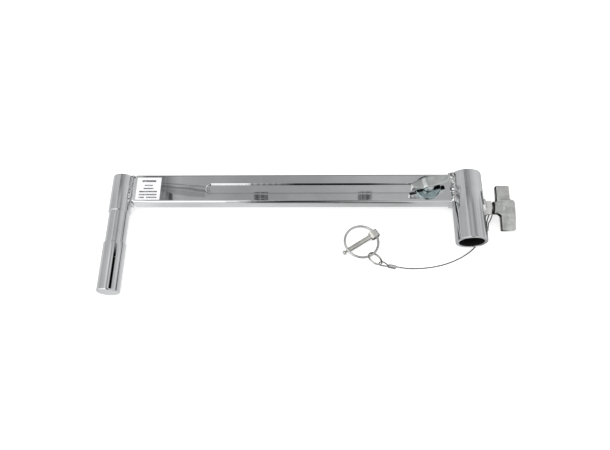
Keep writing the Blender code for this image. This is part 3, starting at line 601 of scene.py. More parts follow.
# One material per CAD node
MAT = {
    "outer_tube": chrome("outer_tube_chrome", tint=(0.780, 0.787, 0.798), rough=0.004,
                         haze=0.008, **DRAWN_LOOK),
    # the receiver's bore gets painted shade, near-black
    "receiver_tube": chrome("receiver_chrome", tint=(0.625, 0.635, 0.650), rough=0.004,
                            haze=0.008, grain="y", grain_amp=0.22, ripple=0.004, pits=0.10,
                            bore=dict(x=REC_X, z=CZ, radius=0.01605, cover=0.99)),
    "receiver_weld": chrome("receiver_weld_chrome", tint=(0.72, 0.72, 0.72), rough=0.03,
                            haze=0.06, **WELD_LOOK),
    "lock_boss": chrome("lock_boss_chrome", tint=(0.90, 0.90, 0.89), rough=0.20, haze=0.12,
                        grain="turn", grain_amp=0.4, ripple=0.20, pits=0.4, dirt=0.5),
    "boss_weld": chrome("boss_weld_chrome", tint=(0.84, 0.84, 0.83), rough=0.06,
                        haze=0.09, **WELD_LOOK),
    "junior_pin": chrome("pin_chrome", tint=(0.650, 0.658, 0.670), rough=0.003, haze=0.006,
                         grain="turn", grain_amp=0.12, ripple=0.003),
    "inner_tube": chrome("inner_tube_chrome", tint=(0.820, 0.827, 0.838), rough=0.008,
                         haze=0.014, **DRAWN_LOOK),
    "pin_weld": chrome("pin_weld_chrome", tint=(0.70, 0.70, 0.70), rough=0.03,
                       haze=0.06, **WELD_LOOK),
    "clamp_nut": zinc("clamp_nut_zinc", tint=(0.56, 0.56, 0.53), rough=0.36),
    "arm_lock_washer": zinc("washer_zinc", tint=(0.43, 0.505, 0.53), rough=0.055,
                            tone=(0.86, 1.02, 1.08), bumpy=0.10, tone_amount=0.6),
    # the arm handle's faces towards -Z get painted dark reflection and shade
    "arm_lock_handle": zinc("arm_handle_cast_zinc", tint=(0.74, 0.765, 0.745), rough=0.30,
                            tone=(0.90, 1.0, 1.03), cast=True, bumpy=0.30, tone_amount=0.4,
                            dark_painted_side=(0.0, 0.0, -1.0)),
    "arm_lock_screw": zinc("arm_screw_zinc", tint=(0.56, 0.57, 0.57), rough=0.30),
    # the receiver handle's faces towards -X get painted dark reflection and shade
    "receiver_lock_handle": zinc("receiver_handle_cast_zinc", tint=(0.74, 0.75, 0.735),
                                 rough=0.34, tone=(0.97, 1.0, 0.97), cast=True, bumpy=0.30,
                                 dark_painted_side=(-1.0, 0.0, 0.0)),
    "receiver_lock_screw": zinc("receiver_screw_zinc", tint=(0.34, 0.34, 0.33), rough=0.32),
    "lanyard_cable": rope_material("cable_galvanised"),
    "neck_ferrule": zinc("neck_ferrule_aluminium", tint=(0.56, 0.56, 0.56), rough=0.34),
    "eye_ferrule": zinc("eye_ferrule_aluminium", tint=(0.68, 0.68, 0.685), rough=0.38),
    "link_ring": zinc("link_ring_nickel", tint=(0.78, 0.77, 0.74), rough=0.24,
                      tone=(1.05, 1.0, 0.92)),
    "lynch_ring": zinc("lynch_ring_zinc", tint=(0.70, 0.70, 0.685), rough=0.36),
    "lynch_pin": zinc("lynch_pin_zinc", tint=(0.76, 0.755, 0.715), rough=0.52,
                      tone=(1.04, 1.0, 0.93), bumpy=0.2),
    "label_plate": label_material("label_film", *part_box("label_plate")),
}


def finish_kept_nodes():
    """CAD nodes whose shape is kept: only a material and live modifiers."""
    # node, edge rounding in mm, angle in degrees above which an edge is rounded
    for node, bevel, angle in (("inner_tube", 0.20, 40), ("clamp_nut", None, None),
                               ("label_plate", None, None), ("lock_boss", 0.2, 25),
                               ("lynch_pin", 0.25, 25)):
        give(nodes[node], MAT[node])
        finish_shade(nodes[node], weld=True, bevel=bevel, angle=angle)


# ---------------------------------------------------------------------------
# Beam: drawn tube whose slot has softly rounded, polished edges
# ---------------------------------------------------------------------------
BEAM_W = (BEAM_HI.y - BEAM_LO.y) / MM
BEAM_T = (BEAM_HI.z - BEAM_LO.z) / MM
BEAM_WALL = 2.0
SLOT_X0, SLOT_X1 = 113.8, 409.4       # mm from the pin axis
SLOT_W = 12.3
SLOT_EDGE_R = 1.3
SLOT_Y = CY - 0.0004


def round_rect(x, shrink, r, segs=7):
    """Ring in the plane X = x: the beam's outline made shrink mm smaller, corners r mm."""
    width, thick = BEAM_W - shrink, BEAM_T - shrink
    ring = []
    for k, (sy, sz) in enumerate(((1, 1), (-1, 1), (-1, -1), (1, -1))):
        for j in range(segs + 1):
            a = math.radians(90 * k + 90 * j / segs)
            ring.append(Vector((x, CY + (sy * (width / 2 - r) + r * math.cos(a)) * MM,
                                CZ + (sz * (thick / 2 - r) + r * math.sin(a)) * MM)))
    return ring


def slot_cutter():
    """Long round-ended plug that flares outwards through the top face."""
    top = BEAM_T / 2
    levels = [(top - 6.0, 0.0), (top - SLOT_EDGE_R, 0.0)]      # (height, growth) in mm
    for k in range(1, 7):
        a = math.pi / 2 * k / 6
        levels.append((top - SLOT_EDGE_R + SLOT_EDGE_R * math.sin(a),
                       SLOT_EDGE_R * (1 - math.cos(a))))
    levels.append((top + 0.6, SLOT_EDGE_R + 0.45))
    rings = []
    for z, growth in levels:
        r = SLOT_W / 2 + growth
        ring = []
        for end_x, start_deg in ((SLOT_X1 - SLOT_W / 2, -90), (SLOT_X0 + SLOT_W / 2, 90)):
            for j in range(33):
                a = math.radians(start_deg + 180 * j / 32)
                ring.append(Vector(((end_x + r * math.cos(a)) * MM,
                                    SLOT_Y + r * math.sin(a) * MM, CZ + z * MM)))
        rings.append(ring)
    return loft("cut_slot", rings)


def build_beam():
    x0, x1 = BEAM_LO.x, BEAM_HI.x
    bore = 2 * BEAM_WALL
    tube = loft("slotted_tube", [
        round_rect(x0, 0.5, 2.0), round_rect(x0 + 0.00008, 0.22, 2.1),
        round_rect(x0 + 0.00030, 0, 2.2), round_rect(x1, 0, 2.2),
        round_rect(x1, bore, 0.9), round_rect(x0, bore, 0.9)], cyclic=True)
    cut_away(tube, slot_cutter())
    # the +X end is coped round the receiver
    cope_r, cope_reach = REC_R / MM + 0.25, 0.06
    cut_away(tube, lathe_y("cut_cope", [(cope_r, CY - cope_reach), (cope_r, CY + cope_reach)],
                           REC_X, CZ, solid=True, steps=144))
    finish_shade(tube)
    install(tube, "outer_tube", "receiver_arm")


# ---------------------------------------------------------------------------
# Turned pieces: pin, receiver, washer
# ---------------------------------------------------------------------------


def build_pin():
    """Solid pin, from its +Y end to its -Y end, with a narrower neck."""
    top, bottom = PIN_HI.y, PIN_LO.y
    neck_top, neck_bottom = top - 0.0510, top - 0.0942
    upper_r, neck_r, lower_r = PIN_UPPER_R, 12.85, 14.2875
    rim, foot, corner = 0.75, 1.8, 0.45      # edge roundings: +Y end, -Y end, at the neck
    hold = 0.004                             # distance of the extra ring beside each corner
    profile = quarter_round(upper_r - rim, top, rim, True)
    profile += [(upper_r, top - hold), (upper_r, neck_top + hold)]
    profile += quarter_round(upper_r, neck_top + 0.0005, -0.5, False)
    profile += quarter_round(neck_r + corner, neck_top, -corner, True)
    profile += [(neck_r, neck_top - hold), (neck_r, neck_bottom + hold)]
    profile += quarter_round(neck_r, neck_bottom + 0.0004, 0.4, False)
    profile += quarter_round(lower_r - corner, neck_bottom, corner, True)
    profile += [(lower_r, neck_bottom - hold), (lower_r, bottom + 0.006)]
    profile += quarter_round(lower_r, bottom + foot * MM, -foot, False, steps=8)
    profile += [(lower_r - 3.0, bottom)]
    pin = lathe_y("turned_pin", profile, 0.0, CZ, solid=True)
    finish_shade(pin)
    install(pin, "junior_pin", "pin_arm")


def build_receiver():
    """Tube with chamfered bore mouths and a screw hole in its +X side."""
    top, bottom = REC_HI.y, REC_LO.y
    outer_r, bore_r, mouth_r = REC_R / MM, 14.7, 16.2
    mouth_round, chamfer, hold = 0.0002, 0.0021, 0.006        # metres along Y
    profile = [(bore_r, top - chamfer), (mouth_r - 0.15, top - mouth_round), (mouth_r, top)]
    profile += quarter_round(outer_r - 0.7, top, 0.7, True)
    profile += [(outer_r, top - hold), (outer_r, bottom + hold)]
    profile += quarter_round(outer_r, bottom + 0.0008, -0.8, False)
    profile += [(mouth_r, bottom), (mouth_r - 0.15, bottom + mouth_round),
                (bore_r, bottom + chamfer), (bore_r, bottom + hold), (bore_r, top - hold)]
    receiver = lathe_y("receiver_body", profile, REC_X, CZ)
    hole_r, reach = 5.3, 0.015
    drill = lathe_y("cut_receiver_screw", [(hole_r, -reach), (hole_r, reach)], 0.0, 0.0,
                    solid=True, steps=48)
    drill.matrix_world = (Matrix.Translation((REC_HI.x - 0.004, LOCK_Y, CZ))
                          @ Matrix.Rotation(math.pi / 2, 4, "Z"))
    cut_away(receiver, drill)
    finish_shade(receiver)
    install(receiver, "receiver_tube", "receiver_arm")


def build_washer():
    """Flat disc with a rolled rim and a slight dish, its axis along Z."""
    lo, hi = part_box("arm_lock_washer")
    centre = (lo + hi) / 2
    rim = (hi.x - lo.x) / 2 / MM
    thick = (hi.z - lo.z) / MM
    hole = 5.4
    # (radius, height) in mm
    profile = [(hole, 0.0), (hole, thick - 0.25), (hole + 0.25, thick), (rim - 2.4, thick),
               (rim - 0.7, thick - 0.10), (rim - 0.2, thick - 0.35), (rim, thick - 0.9),
               (rim - 0.15, 0.35), (rim - 0.5, 0.0)]
    rings = [[Vector((centre.x + r * MM * math.cos(q), centre.y + r * MM * math.sin(q),
                      lo.z + z * MM)) for q in turn(128)] for r, z in profile]
    washer = loft("clamp_washer", rings, cyclic=True)
    finish_shade(washer)
    install(washer, "arm_lock_washer", "arm_lock_washer")


# ---------------------------------------------------------------------------
# Weld beads
# ---------------------------------------------------------------------------


def frame_path(width, thick, gap, corner, per_mm=1.6):
    """Even points (0, y, z) in mm on a rounded rectangle gap mm outside width x thick."""
    half_y, half_z, r = width / 2 + gap, thick / 2 + gap, corner + gap
    pts = []
    for k, (sy, sz) in enumerate(((1, 1), (-1, 1), (-1, -1), (1, -1))):
        for j in range(9):
            a = math.radians(90 * k + 90 * j / 8)
            pts.append(Vector((0, sy * (half_y - r) + r * math.cos(a),
                               sz * (half_z - r) + r * math.sin(a))))
    pts.append(pts[0].copy())
    return even_path(pts, 1.0 / per_mm)[:-1]


def bead(name, pts, radius, seed, ripple_len, rough, segs=26, clamp=None):
    """Lumpy weld bead along a closed path in metres; radius and ripple_len in mm. Each
    puddle leaves a curved ripple, and clamp keeps points off a neighbouring piece."""
    path = carry_frame(pts, cyclic=True)
    count = len(path)
    length = sum((path[i][0] - path[(i + 1) % count][0]).length for i in range(count)) / MM
    waves = max(3, round(length / ripple_len))
    offset = Vector((seed * 3.1, seed * 1.7, seed * 0.9))
    rings = []
    for i, (p, _, a, b) in enumerate(path):
        # slow swelling of the bead along its length
        base = radius * (1.0 + 0.20 * noise.noise(p / MM * 0.11 + offset)
                         + 0.10 * noise.noise(p / MM * 0.33 + offset * 2))
        ring = []
        for q in turn(segs):
            out = a * math.cos(q) + b * math.sin(q)
            phase = math.tau * waves * (i / count) + 1.1 * math.cos(q * 2 + seed)
            ripple = (0.5 + 0.5 * math.cos(phase)) ** 0.6
            at = p / MM + out * radius
            lump = (0.30 * noise.noise(at * 0.42 + offset) + 0.17 * noise.noise(at * 0.95 + offset)
                    + 0.08 * noise.noise(at * 2.1 + offset))
            r = base + rough * (0.17 * ripple + 2.2 * lump)
            v = p + out * (max(r, radius * 0.45) * MM)
            ring.append(clamp(v) if clamp else v)
        rings.append(ring)
    return loft(name, rings, cyclic=True)


def build_receiver_weld():
    """Bead round the beam where it meets the receiver, kept off the beam's -Y side."""
    pts = []
    for q in frame_path(width=34.6, thick=17.2, gap=1.3, corner=2.2):
        x = REC_X / MM - math.sqrt(max(NOMINAL_REC_R ** 2 - q.z * q.z, 0)) - 1.7
        x += 0.5 * noise.noise(Vector((q.y * 0.12, q.z * 0.12, 4.0)))
        pts.append(place(x, q.y, AXIS_H + q.z))
    low = BEAM_LO.y - 0.0002
    ob = bead("receiver_weld_bead", pts, radius=3.9, seed=5.0, ripple_len=3.4, rough=1.05,
              clamp=lambda v: Vector((v.x, max(v.y, low), v.z)))
    install(ob, "receiver_weld", "receiver_arm")


def build_pin_weld():
    """Bead round the pin's joint, stopping short of the outer tube's end."""
    pts = []
    for q in frame_path(width=35.2, thick=13.2, gap=1.0, corner=1.8):
        x = math.sqrt(max(PIN_UPPER_R ** 2 - q.z * q.z, 0)) + 1.3
        x = min(x, 15.7) + 0.3 * noise.noise(Vector((q.y * 0.2, q.z * 0.2, 9.0)))
        pts.append(place(x, q.y, AXIS_H + q.z))
    limit = BEAM_LO.x - 0.0003
    ob = bead("pin_weld_bead", pts, radius=2.35, seed=11.0, ripple_len=2.2, rough=0.55,
              clamp=lambda v: Vector((min(v.x, limit), v.y, v.z)))
    install(ob, "pin_weld", "pin_arm")


def build_boss_weld():
    """Ring of weld round the lock boss, following the receiver's curve."""
    ring_r = 10.3
    pts = []
    for a in turn(72):
        y, z = ring_r * math.cos(a), ring_r * math.sin(a)
        x = REC_X / MM + math.sqrt(NOMINAL_REC_R ** 2 - z * z) + 0.5
        pts.append(Vector((x * MM, LOCK_Y + y * MM, CZ + z * MM)))
    ob = bead("boss_weld_bead", pts, radius=1.75, seed=23.0, ripple_len=2.0, rough=0.5, segs=20)
    install(ob, "boss_weld", "receiver_arm")


# ---------------------------------------------------------------------------
# Handle castings and threaded studs
# ---------------------------------------------------------------------------


def build_casting(node, name, voxel=0.38):
    """Softened copy of a CAD handle; voxel in mm."""
    ob = bpy.data.objects.new(name, nodes[node].data.copy())
    scene.collection.objects.link(ob)
    weld = ob.modifiers.new("weld", "WELD")
    weld.merge_threshold = 0.000002
    remesh = ob.modifiers.new("remesh", "REMESH")
    remesh.mode = "VOXEL"
    remesh.voxel_size = voxel * MM
    remesh.use_smooth_shade = True
    soften = ob.modifiers.new("soften", "SMOOTH")
    soften.factor = 0.5
    soften.iterations = 2
    bake_modifiers(ob)
    for poly in ob.data.polygons:
        poly.use_smooth = True
    install(ob, node, node)


def stud(name, start, axis, length, r=4.78, pitch=1.5, depth=0.42, chamfer=0.8, segs=36,
         step=0.25):
    """Stud with a rolled thread, from start (metres) along axis; sizes in mm."""
    axis = Vector(axis).normalized()
    x = square_to(Vector((1, 0, 0)) if abs(axis.x) < 0.9 else Vector((0, 1, 0)), axis)
    y = axis.cross(x)
    count = int(length / step)
    rings = []
    for i in range(count + 1):
        z = length * i / count
        end = min(z, length - z)
        ring = []
        for q in turn(segs):
            phase = (z / pitch - q / math.tau) % 1.0
            triangle = abs(phase * 2 - 1)
            # flattened crests and roots
            rr = r - depth * min(1.0, max(0.0, triangle * 1.3 - 0.1))
            if end < chamfer:
                rr = min(rr, r - chamfer + end)
            ring.append(start + axis * (z * MM) + (x * math.cos(q) + y * math.sin(q)) * (rr * MM))
        rings.append(ring)
    return loft(name, rings)


def build_studs():
    lo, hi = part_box("receiver_lock_screw")
    ob = stud("receiver_lock_stud", Vector((lo.x, LOCK_Y, CZ)), (1, 0, 0), (hi.x - lo.x) / MM)
    install(ob, "receiver_lock_screw", "receiver_lock_screw")
    lo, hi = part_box("arm_lock_screw")
    foot = Vector(((lo.x + hi.x) / 2, (lo.y + hi.y) / 2, lo.z))
    ob = stud("arm_lock_stud", foot, (0, 0, 1), (hi.z - lo.z) / MM)
    install(ob, "arm_lock_screw", "arm_lock_handle")


# ---------------------------------------------------------------------------
# Lanyard, in drawing mm. on_plane points have their height above the resting plane.
# ---------------------------------------------------------------------------
PLANE_RISE = 5.7          # height of the resting plane at the pin axis
PLANE_SPAN = 454.5        # x where it comes down to zero


def on_plane(p):
    return Vector((p[0], p[1], p[2] + PLANE_RISE / PLANE_SPAN * (PLANE_SPAN - p[0])))


# Link ring: centre, radius and the directions of its plane
LINK_CENTRE = on_plane((333.3, -90.7, 8.4))
LINK_R = 10.0
LINK_TILT = math.radians(40.0)
LINK_U = Vector((-0.68, 0.733, 0.0)).normalized()
LINK_V = (Vector((0.733, 0.68, 0.0)).normalized() * math.cos(LINK_TILT)
          - Vector((0, 0, 1)) * math.sin(LINK_TILT))
LINK_AXIS = LINK_U.cross(LINK_V).normalized()

# Cable eye round the neck of the receiver's lock: the way up, a round part, the way down
NECK_X, NECK_Y, NECK_EYE_R = 484.3, -25.0, 6.3
NECK_UP = [(481.4, -42.6, 8.4), (482.9, -39.0, 13.2), (484.2, -35.2, 17.6)]
NECK_DEGREES = (172, 145, 115, 85, 55, 25, -5, -35, -65, -95, -120)
NECK_DOWN = [(483.7, -29.8, 10.9), (482.3, -32.6, 9.0), (480.9, -37.4, 6.6),
             (480.4, -42.2, 4.4)]

# Single run of cable between the sleeves; the first point hangs free, the rest are on_plane
RUN_FREE = (473.2, -59.2, 1.5)
RUN_RESTING = [
    (468.6, -65.4, 1.05), (463.9, -71.0, 0.95), (456.6, -77.8, 0.95), (449.6, -82.7, 0.95),
    (442.7, -86.8, 0.95), (428.3, -93.3, 0.95), (414.3, -97.5, 0.95), (400.3, -100.0, 0.95),
    (386.5, -101.1, 0.95), (373.6, -100.9, 1.1)]

# Half of the far eye: (share of its length, distance from its centre line in mm)
FAR_EYE_HALF = [(0.10, 1.15), (0.28, 1.95), (0.48, 2.75), (0.68, 3.2), (0.84, 3.05),
                (0.95, 2.05), (1.0, 0.72)]

# Sleeve ends, and the direction along which each sleeve holds two legs side by side
NECK_0, NECK_1 = Vector((480.7, -46.2, 4.0)), Vector((477.2, -52.6, 2.5))
NECK_DIR = (NECK_1 - NECK_0).normalized()
NECK_SIDE = NECK_DIR.cross(Vector((0.55, 0.25, -0.79))).normalized()
EYE_0, EYE_1 = on_plane((359.6, -99.9, 2.2)), on_plane((350.5, -98.3, 2.6))
EYE_DIR = (EYE_1 - EYE_0).normalized()
EYE_ROOT = EYE_1 + EYE_DIR * 0.8
EYE_SPAN = LINK_CENTRE - LINK_U * 7.35 - EYE_ROOT
EYE_AXIS = EYE_SPAN.normalized()
EYE_WIDE = -square_to(LINK_AXIS, EYE_AXIS)       # turned so that it points upwards
EYE_SIDE = square_to(EYE_WIDE, EYE_DIR)

CABLE_R = 0.75
LEG_OFFSET = CABLE_R + 0.12                      # each leg from the sleeve's centre line


def cable_centre():
    """Centre line of the cable: neck sleeve and eye, the run, then the far eye."""
    neck_leg, eye_leg = NECK_SIDE * LEG_OFFSET, EYE_SIDE * LEG_OFFSET
    ctrl = [NECK_1 + neck_leg + NECK_DIR * -0.6, NECK_0 + neck_leg]
    ctrl += NECK_UP
    for degrees in NECK_DEGREES:
        a = math.radians(degrees)
        ctrl.append((NECK_X, NECK_Y + NECK_EYE_R * math.cos(a),
                     AXIS_H + NECK_EYE_R * math.sin(a)))
    ctrl += NECK_DOWN
    ctrl += [NECK_0 - neck_leg, NECK_1 - neck_leg]
    ctrl += [RUN_FREE] + [on_plane(p) for p in RUN_RESTING]
    ctrl += [EYE_0 - EYE_DIR * 1.8 + eye_leg, EYE_0 + eye_leg, EYE_1 + eye_leg]
    eye = FAR_EYE_HALF + [(along, -wide) for along, wide in reversed(FAR_EYE_HALF)]
    ctrl += [EYE_ROOT + EYE_AXIS * (EYE_SPAN.length * along) + EYE_WIDE * wide
             for along, wide in eye]
    ctrl += [EYE_1 - eye_leg, EYE_0 + EYE_DIR * 0.8 - eye_leg]
    return [place(*p) for p in even_path(smooth_path(ctrl, 12), 0.42)]


def build_rope():
    """Wire rope: six strands laid round a core strand, in one mesh."""
    lay = 7.2                                    # mm of cable per turn of the strands
    strands, segs = 6, 7
    strand_r, core_r, strand_offset = 0.262, 0.24, 0.486
    path = carry_frame(cable_centre())
    travelled = [0.0]
    for before, after in zip(path[:-1], path[1:]):
        travelled.append(travelled[-1] + (after[0] - before[0]).length / MM)
    verts, faces = [], []
    for strand in range(strands + 1):
        first = len(verts)
        for distance, (p, t, a, b) in zip(travelled, path):
            if strand == strands:
                verts += circle(p, a, b, core_r * MM, segs)
                continue
            q = math.tau * (distance / lay + strand / strands)
            out = a * math.cos(q) + b * math.sin(q)
            verts += circle(p + out * (strand_offset * MM), out, t.cross(out),
                            strand_r * MM, segs)
        faces += skin(len(path), segs, first)
    install(new_object("wire_rope", verts, faces), "lanyard_cable", "lanyard")


def build_sleeve(name, node, p0, p1, wide, inset):
    """Pressed oval sleeve with three crimp flats and rolled ends."""
    outer_w, outer_t = 5.2, 3.6
    inner_w, inner_t = 3.75, 1.95
    segs, squareness = 48, 0.72
    end_round, crimp_half = 0.55, 0.85
    along = (p1 - p0).normalized()
    length = (p1 - p0).length - 2 * inset + 1.2
    middle = (p0 + p1) / 2
    x = square_to(wide, along)
    y = along.cross(x)
    zs = np.linspace(-length / 2, length / 2, 46)

    def oval(z, width, thick):
        out = []
        for q in turn(segs):
            c, s = math.cos(q), math.sin(q)
            px = math.copysign(abs(c) ** squareness, c) * width / 2
            py = math.copysign(abs(s) ** squareness, s) * thick / 2
            out.append(place(*(middle + along * z + x * px + y * py)))
        return out

    rings = []
    for z in zs:
        end = min(z + length / 2, length / 2 - z)
        k = min(1.0, end / end_round)
        rolled = 0.80 + 0.20 * math.sqrt(max(0, 1 - (1 - k) ** 2))
        crimp = 0.0
        for centre in (-0.27, 0.0, 0.27):        # shares of the length
            u = (z - centre * length) / crimp_half
            crimp += math.exp(-u * u * u * u)
        rings.append(oval(z, outer_w * rolled * (1 + 0.03 * crimp),
                          outer_t * rolled * (1 - 0.13 * crimp)))
    rings += [oval(z, inner_w, inner_t) for z in zs[::-5]]
    install(loft(name, rings, cyclic=True), node, "lanyard")


def build_split_ring():
    """Coiled link ring of a little under two turns."""
    turns, count, pitch = 1.86, 150, 1.62
    pts = []
    for i in range(count + 1):
        t = i / count
        a = math.tau * turns * t + math.radians(200)
        shift = (t - 0.5) * turns * pitch
        pts.append(place(*(LINK_CENTRE + (LINK_U * math.cos(a) + LINK_V * math.sin(a)) * LINK_R
                           + LINK_AXIS * shift)))
    install(sweep("split_ring", pts, 0.62 * MM, segs=14), "link_ring", "link_ring")


def build_spring_ring():
    """Spring ring of the lynch pin, its two ends turned in towards the pin's head."""
    ring_r, tilt, half_gap = 21.8, math.radians(6.4), math.radians(14.5)
    count = 90
    pin_dir = Vector((-0.842, -0.540, 0.0)).normalized()
    across = Vector((0.540, -0.842, 0.0)).normalized()
    ring_u = pin_dir * math.cos(tilt) + Vector((0, 0, 1)) * math.sin(tilt)
    pivot = on_plane((333.3, -56.6, 5.6)) - pin_dir * 1.1
    centre = pivot + ring_u * (ring_r * math.cos(half_gap))
    end_in, end_out = 2.6, 4.2
    ctrl = [pivot + across * end_in, pivot + across * end_out]
    for i in range(1, count):
        a = math.pi - half_gap - (math.tau - 2 * half_gap) * i / count
        ctrl.append(centre + (ring_u * math.cos(a) + across * math.sin(a)) * ring_r)
    ctrl += [pivot - across * end_out, pivot - across * end_in]
    pts = [place(*p) for p in smooth_path(ctrl, 3)]
    install(sweep("spring_ring", pts, 1.45 * MM, segs=20), "lynch_ring", "lynch_ring")


# ---------------------------------------------------------------------------
# Stage: pale floor on the resting plane
# ---------------------------------------------------------------------------

# Brightness of the floor in the polish of the metal: (x + 0.3 m, value)
FLOOR_SEEN = [
    (0.0, 0.74), (0.285, 0.78), (0.325, 0.86), (0.350, 0.68), (0.420, 0.69), (0.486, 0.72),
    (0.535, 0.65), (0.586, 0.60), (0.618, 0.53), (0.665, 0.53), (0.72, 0.60), (0.745, 0.60),
    (0.765, 0.70), (1.0, 0.75)]


def reflected_floor(g):
    """Uneven floor that only glossy rays see, with dark areas near the pieces."""
    black = (0.03, 0.03, 0.03)
    geometry = g.add("ShaderNodeNewGeometry")
    x, y, _ = g.split(geometry.outputs["Position"])
    seen = g.ramp(g.mul_add(x, 1.0, 0.3), FLOOR_SEEN)
    # dark for rays that arrive within a narrow range of angles about Y, at low x
    ray = g.split(geometry.outputs["Incoming"])
    roll = g.math("ARCTAN2", g.mul(ray[0], -1.0), g.mul(ray[2], -1.0))
    dip = g.band(roll, (math.radians(95), math.radians(97)),
                 (math.radians(107), math.radians(105)))
    dip = g.mul(dip, g.step(x, 0.34, 0.30))
    seen = g.mix(g.mul(dip, 0.62), seen, black)
    # strip along Y next to the receiver
    strip = g.band(x, (0.467, 0.472), (0.512, 0.504))
    strip = g.mul(strip, g.step(y, 0.045, 0.075))
    strip = g.mul(strip, g.step(y, 0.155, 0.120, low=0.55, high=1.0))
    seen = g.mix(strip, seen, black)
    # wide area on the -Y side
    wide = g.mul(g.band(x, (0.150, 0.175), (0.396, 0.380)), g.step(y, 0.1105, 0.1045))
    return g.mix(wide, seen, black)


def floor_material():
    material, g = new_material("studio_floor")
    tone = g.noise(g.coords(), scale=3.0, detail=3.0, rough=0.5)
    light_path = g.add("ShaderNodeLightPath").outputs
    plain = g.add("ShaderNodeBsdfPrincipled", {
        "Base Color": g.mix(g.step(tone, 0.3, 0.7), (0.80, 0.80, 0.80), (0.82, 0.82, 0.82)),
        "Roughness": 0.9, "Specular IOR Level": 0.0, "Emission Color": (1, 1, 1),
        # glows to the camera, hardly at all to other rays
        "Emission Strength": g.mul_add(light_path["Is Camera Ray"], 0.46, 0.04)})
    mirrored = g.add("ShaderNodeEmission", {0: reflected_floor(g)})
    g.add("ShaderNodeOutputMaterial", {
        0: g.mix_shader(light_path["Is Glossy Ray"], plain.outputs[0], mirrored.outputs[0])})
    return material


def build_floor():
    """Square plane just below the line from the pin's underside to the receiver's."""
    material = floor_material()
    slope = (REC_LO.z - PIN_LO.z) / REC_X
    half = 40.0
    corners = [(x, y, PIN_LO.z + slope * x - 0.0002)
               for x, y in ((-half, -half), (half, -half), (half, half), (-half, half))]
    floor = new_object("studio_floor", corners, [(0, 1, 2, 3)], smooth=False)
    give(floor, material)


# ---------------------------------------------------------------------------
# World: what a polished piece mirrors, and even light for everything else
# ---------------------------------------------------------------------------

# Room on the +Y side in three bands of rising Y: (degrees about Y, radiance), where 0 is
# overhead and positive is towards +X
ROOM_LOW = [
    (-180, .80), (-100, .66), (-90, .54), (-75, .56), (-60, .58), (-34, .64), (-26, .70),
    (-20, .94), (-15, .92), (-9, .62), (-2, .36), (2, .42), (8, .82), (13, .70), (15, .60),
    (19, .45), (20.5, .002), (42, .002), (45, .35), (53, .70), (62, .56), (73, .82),
    (83, .80), (90, .52), (96, .42), (104, .60), (114, .86), (180, .92)]
ROOM_MIDDLE = [
    (-180, .80), (-100, .66), (-90, .53), (-72, .58), (-60, .60), (-48, .58), (-36, .62),
    (-26, .80), (-21, .72), (-16, .48), (-9, .46), (-4, .58), (4, .60), (10, .56), (16, .40),
    (24, .38), (29, .54), (36, .58), (45, .76), (54, .66), (66, .82), (74, .60), (84, .50),
    (94, .60), (120, .85), (180, .9)]
ROOM_HIGH = [
    (-180, .80), (-100, .70), (-90, .62), (-60, .66), (-48, .70), (-36, .66), (-26, .66),
    (-20, .60), (-15, .42), (-8, .34), (0, .38), (8, .46), (16, .44), (22, .56), (30, .62),
    (36, .66), (48, .72), (60, .80), (90, .80), (130, .85), (180, .9)]
# Room where Y is small or negative: (X * 0.5 + 0.5, radiance)
ROOM_FRONT = [
    (0.0, 1.35), (0.434, 1.45), (0.438, 0.50), (0.462, 0.34), (0.474, 0.02), (0.540, 0.01),
    (0.562, 0.26), (0.60, 0.42), (0.64, 0.72), (1.0, 0.85)]
# Boxes of directions: x0, x1, y0, y1
BRACKETS = [(-0.2685, -0.2590, 0.3985, 0.4112), (-0.1205, -0.0958, 0.4095, 0.4240),
            (0.0635, 0.0880, 0.4108, 0.4258)]
# Overhead rails, all starting at x = RAIL_X0: x1, y0, y1, darkness
RAIL_X0 = -0.300
RAILS = [(-0.196, 0.4268, 0.4288, 0.42), (-0.196, 0.4196, 0.4240, 0.46),
         (-0.205, 0.4105, 0.4185, 0.26)]


